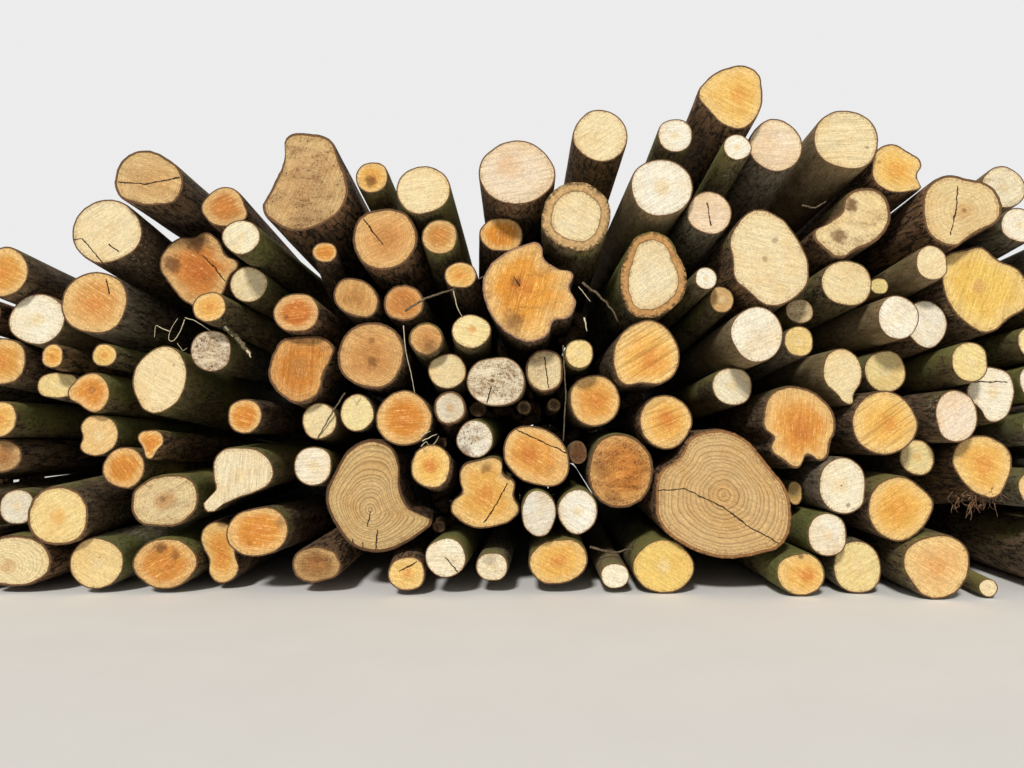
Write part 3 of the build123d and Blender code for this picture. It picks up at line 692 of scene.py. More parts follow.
# The bark's thickness in metres, and how deep its furrows are, against COARSE_DEPTH and MEDIUM_DEPTH
BARK_THICKNESS = {Wood.ASH: 0.006, Wood.ALDER: 0.007, Wood.BIRCH: 0.005, Wood.SPRUCE: 0.011, Wood.OAK: 0.010}
FURROWING = {Wood.ASH: 0.5, Wood.ALDER: 0.8, Wood.BIRCH: 0.4, Wood.SPRUCE: 1.0, Wood.OAK: 1.3}
# Colours for the ends that have no look of their own
SPARE_TINTS = {
    Wood.ASH: ("F3E2B8", "F0DCAC", "F4E2A8", "F6ECD0"),
    Wood.ALDER: ("E0963F", "E9AD58", "DF9440", "F0BE68"),
    Wood.BIRCH: ("F7EFD9", "F6ECD0"),
    Wood.SPRUCE: ("D9B680",),
    Wood.OAK: ("D2A468", "C98F50", "D9B37A"),
}


@dataclass(frozen=True)
class Look:
    """How one log's front end looks in the picture, in pixels of 1024 x 768.

    Args:
        across: The end's middle, from the left.
        down: The end's middle, from the top.
        tint: The wood's colour.
        pith: Where the pith is from the middle, right and down.
        heart: The heart's colour and its share of the radius, where they differ from the wood's.
        rings: The rings' spacing in metres and how strongly they show, where they differ.
        saw: How strongly the saw's lines show and their angle in radians, where they differ.
        cracks: Up to four open cracks, each as x, y, x, y.
        stains_and_shadows: Up to two dark blots, each as x, y, radius, strength: staining or knots, and
            painted shadow on some ends.
        soil: How dirty the end is.
        thick: The bark's thickness in metres, where it differs from its kind.
        inner_bark: The colour of the bark where it is cut.
        coat: The kind of bark, where it shows.
    """

    across: float
    down: float
    tint: str
    pith: tuple[float, float] = (0.0, 0.0)
    heart: tuple = ()
    rings: tuple = ()
    saw: tuple = ()
    cracks: tuple = ()
    stains_and_shadows: tuple = ()
    soil: float = 0.12
    thick: float = 0.0
    inner_bark: str = "7C5B3C"
    coat: Optional[Coat] = None


LOOKS = (
    Look(143, 181, "DDB780", heart=("D2A468", 0.2), cracks=((112, 184, 140, 186), (140, 186, 174, 179)),
         stains_and_shadows=((128, 206, 9, 0.5),), soil=0.3, coat=Coat.DARK),
    Look(104, 234, "F3E2B8", cracks=((71, 243, 80, 242), (80, 242, 102, 267), (107, 248, 117, 255)),
         coat=Coat.DARK),
    Look(2, 281, "E0A04C"),
    Look(30, 324, "F7EFD6"),
    Look(91, 308, "DDA25C", cracks=((101, 284, 105, 298),), coat=Coat.GREY),
    Look(2, 364, "E0A04C"),
    Look(51, 362, "ECB35A"),
    Look(103, 360, "EDBE68", coat=Coat.MOSSY),
    Look(58, 391, "F2D998"),
    Look(90, 399, "E39A45", pith=(1, -2), stains_and_shadows=((91, 397, 5, 0.4),), soil=0.2),
    Look(159, 385, "F3DDAE", stains_and_shadows=((172, 371, 2, 0.5),), coat=Coat.MOSSY),
    Look(202, 305, "EDB560"),
    # Its two dark blots at the upper left paint the shadow of the logs above it
    Look(195, 276, "D98C42", heart=("C66A2A", 0.45), cracks=((200, 262, 212, 275), (212, 275, 222, 288)),
         stains_and_shadows=((170, 271, 12, 0.8), (193, 249, 14, 0.85)), soil=0.3),
    Look(210, 356, "F6EBD0", soil=0.8, coat=Coat.MOSSY),
    Look(0, 425, "EDBE68", coat=Coat.MOSSY),
    # The brown tint of this end paints the shade that lies on it
    Look(2, 462, "B98A58", soil=0.4),
    Look(103, 445, "EFC98A", coat=Coat.MOSSY),
    Look(152, 448, "E0963F"),
    Look(128, 472, "E0963F", saw=(1.0, -0.9)),
    Look(162, 504, "E6CFA0", stains_and_shadows=((160, 502, 4, 0.5), (147, 490, 3, 0.3)), saw=(0.9, 0.5), soil=0.35,
         coat=Coat.MOSSY),
    Look(18, 511, "EDE6D2"),
    Look(62, 523, "F3D998", heart=("EDB05A", 0.3), rings=(0.011, 0.12), thick=0.012, coat=Coat.DARK),
    Look(18, 566, "F0DCAC", pith=(-10, 7), rings=(0.013, 0.3)),
    Look(99, 566, "F3D89A", stains_and_shadows=((102, 560, 1.5, 0.6),), soil=0.2),
    Look(168, 560, "DE9846", stains_and_shadows=((163, 545, 8, 0.8), (178, 552, 6, 0.6)), soil=0.35),
    Look(222, 552, "E9AD58", heart=("DE8A3A", 0.5), soil=0.2),
    Look(259, 537, "E0963F", pith=(2, -4), stains_and_shadows=((281, 528, 7, 0.5), (252, 548, 4, 0.3)), coat=Coat.DARK),
    Look(245, 479, "F3E4C0", saw=(0.8, 1.5), soil=0.2, coat=Coat.MOSSY),
    Look(318, 467, "F8F0DA", saw=(0.8, 0.05), coat=Coat.MOSSY),
    Look(245, 422, "E0963F"),
    Look(319, 425, "F0DCAC"),
    Look(357, 419, "F4E2A8"),
    Look(376, 494, "DAB880", pith=(-2, 10), rings=(0.016, 0.6), heart=("D8B682", 0.3), soil=0.15,
         cracks=((357, 533, 358, 554), (367, 536, 367, 549), (381, 524, 379, 554), (374, 506, 371, 520))),
    Look(370, 360, "D9A060", stains_and_shadows=((371, 367, 7, 0.6), (370, 345, 4, 0.5)), soil=0.3, pith=(0, 4)),
    Look(301, 375, "D9903F", saw=(1.0, 1.5), soil=0.3),
    Look(295, 320, "CE7A34", stains_and_shadows=((285, 325, 3, 0.6), (312, 335, 3, 0.5)), soil=0.2),
    Look(355, 303, "DDA562", saw=(1.0, 1.4), stains_and_shadows=((345, 306, 6, 0.25),), soil=0.2),
    Look(403, 309, "CF8844", rings=(0.011, 0.25), soil=0.2),
    Look(246, 290, "F2E0B4", soil=0.15),
    Look(237, 247, "F6ECCB", coat=Coat.MOSSY),
    Look(220, 210, "D08C48", soil=0.2),
    Look(305, 184, "CFA976", heart=("C79C68", 0.2), rings=(0.016, 0.22), saw=(0.8, 1.2), pith=(-3, 14),
         stains_and_shadows=((300, 226, 16, 0.3), (318, 224, 14, 0.25)), soil=0.5, coat=Coat.BROWN),
    Look(323, 257, "E0963F"),
    Look(370, 180, "ECB35A", stains_and_shadows=((369, 184, 8, 0.75),), soil=0.3),
    Look(384, 241, "DFA766", rings=(0.012, 0.3), cracks=((362, 221, 382, 247),), soil=0.2, coat=Coat.BROWN),
    Look(421, 193, "F1DEB0", pith=(-5, 0), rings=(0.009, 0.14)),
    Look(439, 242, "D2954E", pith=(-1, -2), rings=(0.010, 0.3), soil=0.2),
    Look(516, 178, "F0DCC0", heart=("ECC294", 0.4), pith=(-20, -14), saw=(0.7, 0.2), soil=0.2,
         coat=Coat.BROWN),
    Look(502, 237, "EB9A35", saw=(0.8, 1.5)),
    Look(577, 221, "F0E0B8", thick=0.05, inner_bark="DDB57C", heart=("F1E0B6", 0.2), rings=(0.011, 0.16),
         coat=Coat.MOSSY),
    Look(604, 137, "F2E0B4", rings=(0.010, 0.12), coat=Coat.BROWN),
    Look(461, 280, "EBB25C"),
    Look(528, 298, "EDA644", pith=(-9, -10), heart=("D27A30", 0.3), saw=(1.0, 1.3),
         cracks=((515, 282, 520, 291),), stains_and_shadows=((514, 326, 13, 0.6), (517, 287, 6, 0.6)), soil=0.35,
         inner_bark="B78C74", coat=Coat.DARK),
    Look(426, 345, "D9A060", stains_and_shadows=((430, 356, 12, 0.6),), soil=0.3, coat=Coat.MOSSY),
    Look(470, 339, "F5E3A8", pith=(2, -2), heart=("E39A45", 0.3)),
    Look(452, 377, "F0DCAC", soil=0.15),
    Look(494, 391, "F6EBCD", pith=(-4, -1), stains_and_shadows=((490, 390, 3, 0.9),), cracks=((489, 396, 485, 412),),
         soil=0.7),
    Look(449, 415, "DDD3BC", rings=(0.009, 0.25)),
    Look(470, 445, "F7F0DC", stains_and_shadows=((460, 456, 7, 0.5),), soil=0.55),
    Look(431, 472, "F0BF66", pith=(-1, -1), heart=("D8742E", 0.4), stains_and_shadows=((425, 457, 3, 0.5),),
         coat=Coat.DARK),
    Look(485, 498, "EBB25A", stains_and_shadows=((486, 471, 7, 0.6),),
         cracks=((507, 487, 497, 505), (497, 505, 484, 526)), soil=0.25),
    Look(539, 461, "E7A551", pith=(-9, -3), heart=("D07632", 0.35),
         cracks=((515, 433, 543, 446), (543, 446, 569, 458)), stains_and_shadows=((553, 475, 7, 0.25),), soil=0.15,
         coat=Coat.DARK),
    Look(576, 459, "8A6848", heart=("6E4A2E", 0.6), stains_and_shadows=((576, 459, 6, 0.5),), soil=1.0),
    Look(618, 480, "D9964A", heart=("DE8E40", 0.5), pith=(12, -2),
         stains_and_shadows=((600, 478, 14, 0.45), (610, 505, 10, 0.4)), rings=(0.011, 0.3), soil=0.55,
         coat=Coat.MOSSY),
    Look(595, 407, "E9A852", pith=(3, 0), heart=("D8823A", 0.4), soil=0.2),
    Look(579, 359, "F4DC9C", coat=Coat.MOSSY),
    Look(541, 379, "EFDCB2", heart=("EBD4A4", 0.2), cracks=((541, 366, 545, 396),), soil=0.35),
    Look(646, 359, "F0B860", pith=(6, 8), heart=("DB8436", 0.35), saw=(1.6, 0.55), rings=(0.010, 0.1)),
    Look(654, 281, "F2E2BC", thick=0.045, inner_bark="D9A566", heart=("F3E4C0", 0.2), rings=(0.011, 0.2),
         coat=Coat.MOSSY),
    Look(664, 191, "F8F2E0", coat=Coat.SMOOTH),
    Look(678, 136, "F8F2E0", soil=0.2),
    Look(736, 95, "F3C56E", pith=(7, -2), heart=("E59A3E", 0.3), soil=0.15, coat=Coat.BROWN),
    Look(741, 149, "F8F2E0", coat=Coat.MOSSY),
    Look(779, 146, "F3DFC2", heart=("F0D6B4", 0.25), rings=(0.011, 0.14), saw=(0.8, 0.05)),
    Look(710, 215, "F3DEC2", heart=("F0D6B4", 0.25), cracks=((708, 204, 711, 228),)),
    Look(770, 265, "F1DFB4", pith=(-3, 1), stains_and_shadows=((777, 246, 4, 0.5), (767, 266, 4, 0.45)), soil=0.15,
         coat=Coat.BROWN),
    Look(710, 286, "F8F2E0"),
    Look(728, 303, "D9B37A", soil=0.25),
    Look(758, 341, "F7EED6", soil=0.3, coat=Coat.SMOOTH),
    Look(800, 346, "EBCF88"),
    Look(802, 316, "E2D3AE", soil=0.5),
    Look(733, 389, "F4EACB", coat=Coat.MOSSY),
    Look(800, 432, "E8A44E", pith=(3, 8), heart=("D67E38", 0.4), saw=(0.8, 1.45), soil=0.2, thick=0.012),
    Look(720, 497, "D9B680", pith=(1, -3), rings=(0.021, 0.5), soil=0.15, thick=0.016, inner_bark="B98552",
         coat=Coat.BROWN,
         cracks=((655, 490, 682, 488), (682, 488, 720, 506), (720, 506, 742, 523), (742, 523, 782, 546))),
    Look(666, 429, "F0B860", pith=(2, -4), heart=("DB7A30", 0.4), saw=(1.3, 0.4)),
    Look(662, 567, "F2CF78", coat=Coat.MOSSY),
    Look(798, 589, "F0BE68", pith=(9, 1), heart=("DE7C34", 0.4), stains_and_shadows=((799, 571, 4, 0.7),)),
    Look(792, 500, "E5C27C"),
    Look(853, 139, "F2DFB2", saw=(1.0, 0.05), stains_and_shadows=((874, 147, 3, 0.5),), soil=0.15, coat=Coat.SMOOTH),
    Look(905, 174, "F2C46C", heart=("E59A40", 0.4), stains_and_shadows=((889, 166, 3, 0.5),)),
    Look(855, 228, "F0DAA8", stains_and_shadows=((852, 209, 9, 0.85), (838, 241, 10, 0.7)), soil=0.4, thick=0.016,
         coat=Coat.BROWN),
    Look(966, 214, "E6CC98", pith=(5, 3), rings=(0.020, 0.2),
         cracks=((967, 190, 963, 215), (963, 215, 955, 241)), stains_and_shadows=((971, 216, 3, 0.5),), soil=0.15),
    Look(1005, 190, "F2E6C6", soil=0.3),
    Look(1024, 229, "F8F2E0"),
    Look(988, 296, "F3CB6A", pith=(-5, -3), heart=("DDA468", 0.2), saw=(0.8, 1.2)),
    Look(939, 268, "F1DFB4"),
    Look(848, 286, "F0DCAC"),
    Look(881, 292, "F2DE96", soil=0.35),
    Look(903, 323, "F7F0DA", soil=0.25, coat=Coat.SMOOTH),
    Look(936, 325, "F7F0DC", coat=Coat.BROWN),
    Look(971, 370, "F3DE9E"),
    Look(992, 399, "F7EFD8", cracks=((972, 388, 1008, 388),)),
    Look(845, 381, "F1DDAE"),
    Look(887, 377, "F2DC9C"),
    Look(885, 428, "F3C066", pith=(5, 0), heart=("E39440", 0.35), saw=(1.5, 0.6)),
    Look(959, 427, "F6E4CC", heart=("F3DCC0", 0.2), coat=Coat.DARK),
    Look(915, 463, "F3DFA4", heart=("E9B860", 0.35)),
    Look(981, 468, "F1BE64", heart=("E39440", 0.4), coat=Coat.BROWN),
    Look(1030, 495, "EFCB8C"),
    Look(838, 492, "F6ECD0", pith=(-1, 0), stains_and_shadows=((837, 492, 1.2, 0.9), (843, 511, 2.5, 0.6))),
    Look(900, 514, "F2BD60", heart=("E59A40", 0.4), coat=Coat.DARK),
    Look(830, 544, "F7EFD9", coat=Coat.MOSSY),
    Look(848, 578, "F3DFA2"),
    Look(930, 582, "EFC384", heart=("E5A05A", 0.4), coat=Coat.MOSSY),
    Look(983, 593, "F1DFB4", coat=Coat.MOSSY),
    Look(539, 518, "E9E4D4", coat=Coat.MOSSY, soil=0.2),
    Look(581, 512, "F8F3E3"),
    Look(446, 556, "F6ECD0", cracks=((446, 556, 458, 570),), soil=0.25, coat=Coat.MOSSY),
    Look(488, 563, "F3E7C8", stains_and_shadows=((486, 556, 9, 0.35),), soil=0.3),
    Look(559, 568, "F0BC62", soil=0.2, coat=Coat.MOSSY),
    Look(408, 572, "F2C878", cracks=((400, 570, 418, 560),)),
    Look(322, 567, "A97C4A", soil=0.45, coat=Coat.BROWN),
)


# An end that lies farther behind the front plane than this gets a dark, dirty look with painted shade, in
# metres
DEEP = 0.2
DEEP_SHADE_LOOK = Look(0, 0, "6B5845", heart=("5C4836", 0.3), soil=0.9)
# A look belongs to a log whose end shows at most this far from it, in pixels
MATCH_REACH = 45


@dataclass(frozen=True)
class Eye:
    """The picture's camera, close in front of the stack and tipped up a little.

    Args:
        x: Where it stands along the stack.
        front_plane: Where the front ends lie, as y.
        distance: How far before them it stands.
        height: How high it stands.
        tip: How far it is tipped up, in degrees.
        focal: Its focal length in pixels.
        middle: The pixel that lies level with it, straight ahead.
    """

    x: float = -0.0757
    front_plane: float = -1.557
    distance: float = 3.85
    height: float = 0.86
    tip: float = 2.68
    focal: float = 770.0
    middle: tuple[float, float] = (512.0, 420.0)

    def pixel(self, point: np.ndarray) -> np.ndarray:
        """Where a point shows in the picture.

        Args:
            point: Rows of x, y, z.

        Returns:
            Rows of pixels from the left and from the top.
        """
        away = point[..., 1] - self.front_plane + self.distance
        across = self.middle[0] + self.focal * (point[..., 0] - self.x) / away
        down = self.middle[1] - self.focal * (point[..., 2] - self.height) / away
        return np.stack([across, down], -1)

    def point(self, across: float, down: float, set_back: float) -> np.ndarray:
        """The point behind a pixel, so far behind the plane of the front ends."""
        away = self.distance + set_back
        x = self.x + (across - self.middle[0]) / self.focal * away
        z = self.height + (self.middle[1] - down) / self.focal * away
        return np.array([x, self.front_plane + set_back, z])

    def build(self) -> None:
        """Makes the camera and looks through it."""
        data = bpy.data.cameras.new("eye")
        data.sensor_width = SENSOR_WIDTH
        data.lens = SENSOR_WIDTH * self.focal / PICTURE_WIDTH
        data.clip_end = 200.0
        camera = bpy.data.objects.new("eye", data)
        camera.location = (self.x, self.front_plane - self.distance, self.height)
        camera.rotation_euler = (math.radians(90.0 + self.tip), 0.0, 0.0)
        bpy.context.scene.collection.objects.link(camera)
        bpy.context.scene.camera = camera


def scatter(points: np.ndarray, seed: int) -> np.ndarray:
    """Smooth noise from 0 to 1: random numbers at a unit grid's corners, blended by 3t^2 - 2t^3.

    Args:
        points: Rows of three coordinates, in grid units.
        seed: Another seed gives other noise.

    Returns:
        One value a row.
    """
    cell = np.floor(points).astype(np.int64)
    part = points - cell
    part = part * part * (3 - 2 * part)
    total = np.zeros(len(points))
    for corner in range(8):
        step = np.array([corner & 1, corner >> 1 & 1, corner >> 2 & 1])
        key = ((cell + step) * CORNER_KEYS).sum(1) + seed * SEED_KEY
        key = (key ^ (key >> 13)) * MIXING_KEY & 0xFFFFFFFF
        value = ((key ^ (key >> 16)) & 0xFFFF) / 65535.0
        total += value * np.where(step, part, 1 - part).prod(1)
    return total


@dataclass
class Shell:
    """Arrays of one mesh in the making: points, triangles, and what each of them carries."""

    points: list = field(default_factory=list)
    faces: list = field(default_factory=list)
    slots: list = field(default_factory=list)
    uvs: list = field(default_factory=list)
    point_values: dict = field(default_factory=dict)
    face_values: dict = field(default_factory=dict)
    count: int = 0

    def add(self, points: np.ndarray, faces: np.ndarray, slots: np.ndarray, uv: np.ndarray,
            point_values: dict[str, np.ndarray], face_values: dict[str, Sequence[float]]) -> None:
        """Adds one closed form.

        Args:
            points: Rows of x, y, z.
            faces: Rows of three points, counted from the form's first.
            slots: Each face's material.
            uv: Each point's place on a cut end.
            point_values: Numbers for the points, by name. "rim" marks the sharp edge round an end.
            face_values: Four numbers that all faces of the form carry, by name.
        """
        self.points.append(points)
        self.faces.append(faces + self.count)
        self.slots.append(slots)
        self.uvs.append(uv)
        for name, values in point_values.items():
            self.point_values.setdefault(name, []).append(values)
        for name, values in face_values.items():
            self.face_values.setdefault(name, []).append(np.tile(values, (len(faces), 1)))
        self.count += len(points)

    def build(self, name: str, materials: Sequence[bpy.types.Material]) -> bpy.types.Object:
        """Makes the mesh object.

        Args:
            name: The object's name.
            materials: One for each slot number.

        Returns:
            The object, at the origin. No point of it lies outside the CAD's box.
        """
        points = np.clip(np.concatenate(self.points), *np.array(CAD_BOX))
        faces = np.concatenate(self.faces)
        mesh = bpy.data.meshes.new(name)
        mesh.vertices.add(len(points))
        mesh.vertices.foreach_set("co", points.astype(np.float32).ravel())
        mesh.loops.add(faces.size)
        mesh.loops.foreach_set("vertex_index", faces.astype(np.int32).ravel())
        mesh.polygons.add(len(faces))
        mesh.polygons.foreach_set("loop_start", np.arange(0, faces.size, 3, dtype=np.int32))
        mesh.polygons.foreach_set("material_index", np.concatenate(self.slots).astype(np.int32))
        mesh.polygons.foreach_set("use_smooth", np.ones(len(faces), bool))
        mesh.update(calc_edges=True)
        layer = mesh.uv_layers.new(name="end")
        layer.data.foreach_set("uv", np.concatenate(self.uvs)[faces.ravel()].astype(np.float32).ravel())
        for key, values in self.point_values.items():
            flat = np.concatenate(values).astype(np.float32)
            mesh.attributes.new(key, "FLOAT", "POINT").data.foreach_set("value", flat)
        for key, values in self.face_values.items():
            flat = np.concatenate(values).astype(np.float32).ravel()
            mesh.attributes.new(key, "FLOAT_COLOR", "FACE").data.foreach_set("color", flat)
        ends = np.empty(2 * len(mesh.edges), np.int32)
        mesh.edges.foreach_get("vertices", ends)
        sharp = (np.concatenate(self.point_values["rim"]) > 0)[ends.reshape(-1, 2)].all(1)
        mesh.attributes.new("sharp_edge", "BOOLEAN", "EDGE").data.foreach_set("value", sharp)
        for material in materials:
            mesh.materials.append(material)
        thing = bpy.data.objects.new(name, mesh)
        bpy.context.scene.collection.objects.link(thing)
        return thing


@dataclass
class Stem:
    """One log, as its CAD solid says.

    The side is a surface of two parameters: the way round and the share of the length. Its radius goes
    evenly from the front outline to the far one, less the depth of the bark's furrows, so nothing stands
    proud. The cut end goes straight from the pith to the outline.

    Args:
        wood: What it is made of.
        number: Its number in the stack, which its noises start from.
        front: The front end's middle.
        far: The far end's middle.
        right: The direction across it to the right.
        up: The direction across it upwards.
        front_radii: The front outline's radii at even angles, from the right.
        far_radii: The far outline's.
    """

    wood: Wood
    number: int
    front: np.ndarray
    far: np.ndarray
    right: np.ndarray
    up: np.ndarray
    front_radii: np.ndarray
    far_radii: np.ndarray

    def pose(self, share: np.ndarray, across: np.ndarray, height: np.ndarray) -> np.ndarray:
        """Points at a share of the length, so far to the right and up from the middle there."""
        middle = self.front + share[..., None] * (self.far - self.front)
        return middle + across[..., None] * self.right + height[..., None] * self.up

    @property
    def size(self) -> float:
        """Its mean radius at the front."""
        return float(self.front_radii.mean())

    def bark_thickness(self) -> float:
        """The bark's thickness: its wood's, more on a thick log and less on a thin one."""
        return BARK_THICKNESS[self.wood] * min(THICK_BARK, THIN_BARK + self.size / BARK_RADIUS)

    def saw_plane(self, end: int, across: np.ndarray, height: np.ndarray) -> np.ndarray:
        """How far inside the CAD's end the saw's plane lies, which leans a little both ways.

        Args:
            end: 0 for the front end, 1 for the far one.
            across: Places to the right of the middle.
            height: Places up from the middle.

        Returns:
            The slope across times the place across, and the same for the height, plus the middle's depth.
        """
        lean = [SAW_LEAN * math.sin(self.number * 12.9898 + k * 4.7) for k in (2 * end, 2 * end + 1)]
        return lean[0] * across + lean[1] * height + SAW_BITE * SAW_LEAN * self.size

    def dress(self, shell: Shell, look: Look, eye: Eye) -> None:
        """Works out the log's detailed surface and adds it to the shell.

        Args:
            shell: Takes the arrays.
            look: How the end looks.
            eye: Turns the look's pixels into places.
        """
        steps = len(self.front_radii)
        length = float(np.linalg.norm(self.far - self.front))
        thick = look.thick or self.bark_thickness()
        coat = look.coat or COATS[self.wood][self.number % len(COATS[self.wood])]
        middle_run = np.linspace(RUN_MIDDLE[0], length - RUN_MIDDLE[1], MIDDLE_RINGS)
        run = np.concatenate([RUN_FROM_FRONT, middle_run, length - RUN_FROM_FAR]) / length
        (across, height), flat, turn, edge = self.side(run, length, thick)
        start = self.saw_plane(0, across, height) / length
        stop = 1 - self.saw_plane(1, across, height) / length
        share = np.broadcast_to(run[:, None], across.shape)
        wall = self.pose(start + share * (stop - start), across, height).reshape(-1, 3)

        points, uvs, reach = [wall], [np.zeros((len(wall), 2))], [np.full(len(wall), 2.0)]
        faces, slots = [self.wall(len(run), steps)], [np.zeros(2 * (len(run) - 1) * steps, int)]
        farthest = PITH_REACH * float(self.front_radii.min())
        pith = at_most(np.array([look.pith[0], -look.pith[1]]) * PIXEL, farthest)
        base = len(wall)
        for end, middle, shares in ((0, pith, FRONT_RINGS), (1, pith / 2, FAR_RINGS)):
            ring = end * (len(run) - 1)
            spots, uv, reached = self.cut(np.stack([across[ring], height[ring]], 1), middle, thick, shares)
            grid = np.column_stack([spots * END_BUMPS, np.full(len(spots), END_SLICE)])
            bumps = scatter(grid, self.number + ring)
            depth = (self.saw_plane(end, *spots.T) + END_RELIEF * (bumps - 0.3)) / length
            points.append(self.pose(1 - depth if end else depth, *spots.T))
            uvs.append(uv)
            reach.append(reached)
            faces.append(self.disc(base, len(shares), steps, ring * steps + np.arange(steps), flip=end > 0))
            slots.append(np.ones(len(faces[-1]), int))
            base += len(spots)
        bare_end = np.zeros(base - len(wall))
        rim_mark = np.zeros(base)
        rim_mark[:steps] = 1
        rim_mark[len(wall) - steps:len(wall)] = 1
        point_values = {
            "reach": np.concatenate(reach),
            "moss": np.concatenate([self.moss(flat, turn, coat), bare_end]),
            "worn": np.concatenate([edge, bare_end]),
            "rim": rim_mark,
        }
        shell.add(np.concatenate(points), np.concatenate(faces), np.concatenate(slots), np.concatenate(uvs),
                  point_values, self.face_values(look, coat, eye))

    def side(self, run: np.ndarray, length: float, thick: float) -> tuple:
        """The side's surface: furrows a few millimetres deep along the log, and a chipped edge at both ends.

        The radius at a share of the length goes evenly from the front outline to the far one. Three noises
        of different grain, drawn out along the log, are taken off it, and more near the ends.

        Args:
            run: Shares of the length.
            length: The log's length.
            thick: The bark's thickness.

        Returns:
            Places across and up as a pair, the points, each point's angle, and how worn it is.
        """
        around = np.arange(len(self.front_radii)) * math.tau / len(self.front_radii)
        share, turn = np.meshgrid(run, around, indexing="ij")
        radii = (1 - share) * self.front_radii + share * self.far_radii
        flat = self.pose(share, radii * np.cos(turn), radii * np.sin(turn)).reshape(-1, 3)
        coarse = scatter(flat * COARSE_BUMPS, self.number)
        medium = scatter(flat * MEDIUM_BUMPS, self.number + 31)
        swell = scatter(flat * SWELLS, self.number + 57)
        chip = scatter(flat * EDGE_CHIPS, self.number + 83).reshape(share.shape)
        depth = FURROWING[self.wood] * (COARSE_DEPTH * coarse + MEDIUM_DEPTH * medium) + SWELL_DEPTH * swell
        edge = np.exp(-share * length / CHIPPED) + np.exp(-(1 - share) * length / CHIPPED)
        inset = depth.reshape(share.shape) + edge * min(thick, CHIPPED) * CHIP_DEPTH * chip
        radii = radii - np.minimum(inset, MOST_INSET * radii)
        return (radii * np.cos(turn), radii * np.sin(turn)), flat, turn.ravel(), (edge * chip).ravel() * 0.8

    @staticmethod
    def cut(rim: np.ndarray, pith: np.ndarray, thick: float, shares: np.ndarray) -> tuple:
        """A cut end: rings of points from the pith to the wood's edge, which lies inside the bark.

        The growth rings are round at the pith and take the outline's shape towards the edge: a point's place
        for them is its own distance from the pith times one less its share of the way out, plus the mean
        distance of the outline times that share squared.

        Args:
            rim: The end's outline, as rows of across and up.
            pith: The pith's place.
            thick: The bark's thickness.
            shares: How far out each ring lies, from above 0 to 1.

        Returns:
            The points, their places in metres for the growth rings, and each one's share of the way out.
        """
        steps = len(rim)
        around = np.arange(steps) * math.tau / steps
        spoke = np.hypot(*(rim - pith).T)
        wood_edge = 1 - np.minimum(thick / np.maximum(spoke, LEAST_LENGTH), 0.4)
        spots = pith + (shares[:, None] * wood_edge[None])[..., None] * (rim - pith)
        reach = np.concatenate([[0.0], np.repeat(shares, steps)])
        ways = np.tile(np.stack([np.cos(around), np.sin(around)], 1), (len(shares), 1))
        own = np.concatenate([[0.0], (shares[:, None] * spoke[None]).ravel()])
        radius = own * (1 - reach) + float(spoke.mean()) * reach ** 2
        uv = np.concatenate([[[0.0, 0.0]], ways]) * radius[:, None]
        return np.concatenate([pith[None], spots.reshape(-1, 2)]), uv, reach

    def face_values(self, look: Look, coat: Coat, eye: Eye) -> dict[str, Sequence[float]]:
        """The numbers that every face of the log carries to its materials.

        Args:
            look: How the end looks.
            coat: The kind of bark.
            eye: Turns the look's pixels into places.

        Returns:
            Four numbers by name.
        """
        finish = CUTS[self.wood]
        heart, core = look.heart or (finish.heart, finish.core)
        spacing, contrast = look.rings or (finish.spacing, finish.contrast)
        saw, angle = look.saw or (finish.saw, 0.6 * math.sin(self.number * 3.3))
        ridge, rough, _ = coat.value
        values = {
            "tint": linear(look.tint)[:3] + (look.soil,),
            "heart": linear(heart)[:3] + (core,),
            "grain": (spacing, contrast, saw, angle),
            "coat": linear(ridge)[:3] + (rough,),
            "inner_bark": linear(look.inner_bark),
        }
        set_back = float(self.front[1]) - eye.front_plane
        shift = self.front - eye.point(look.across, look.down, set_back)
        for name, crack in zip_longest(CRACK_NAMES, look.cracks):
            values[name] = NOTHING
            if crack:
                begin, end = (eye.point(*crack[k:k + 2], set_back) + shift for k in (0, 2))
                values[name] = (begin[0], begin[2], end[0], end[2])
        # Dark blots: staining and knots, and painted shadow on some ends
        for name, stain_and_shadow in zip_longest(STAIN_AND_SHADOW_NAMES, look.stains_and_shadows):
            values[name] = NOTHING
            if stain_and_shadow:
                spot = eye.point(*stain_and_shadow[:2], set_back) + shift
                values[name] = (spot[0], spot[2], stain_and_shadow[2] * PIXEL, stain_and_shadow[3])
        return values

    def moss(self, flat: np.ndarray, turn: np.ndarray, coat: Coat) -> np.ndarray:
        """How much moss grows at each point: more on the upper side, in patches a hand or two across."""
        patch = scatter(flat * MOSS_CLUMPS, self.number + 101)
        amount = coat.value[2] + MOSS_BY_LOG * math.sin(self.number * 7.13)
        return np.clip(amount + MOSS_ON_TOP * np.sin(turn) + MOSS_BY_CLUMP * (patch - 0.5), 0.0, 1.0)

    @staticmethod
    def wall(rings: int, steps: int) -> np.ndarray:
        """Triangles of a closed tube of so many rings."""
        ring, step = np.meshgrid(np.arange(rings - 1), np.arange(steps), indexing="ij")
        a = (ring * steps + step).ravel()
        b = (ring * steps + (step + 1) % steps).ravel()
        c, d = a + steps, b + steps
        return np.concatenate([np.stack([a, d, c], 1), np.stack([a, b, d], 1)])

    @staticmethod
    def disc(base: int, rings: int, steps: int, loop: np.ndarray, flip: bool) -> np.ndarray:
        """Triangles of an end: a fan at the pith, bands round it, and the bark's band out to the loop."""
        step = np.arange(steps)
        following = (step + 1) % steps
        rows = [base + 1 + k * steps + step for k in range(rings)] + [loop]
        parts = [np.stack([np.full(steps, base), rows[0][following], rows[0]], 1)]
        for near, out in zip(rows[:-1], rows[1:]):
            parts.append(np.stack([near, out[following], out], 1))
            parts.append(np.stack([near, near[following], out[following]], 1))
        faces = np.concatenate(parts)
        return faces[:, ::-1] if flip else faces


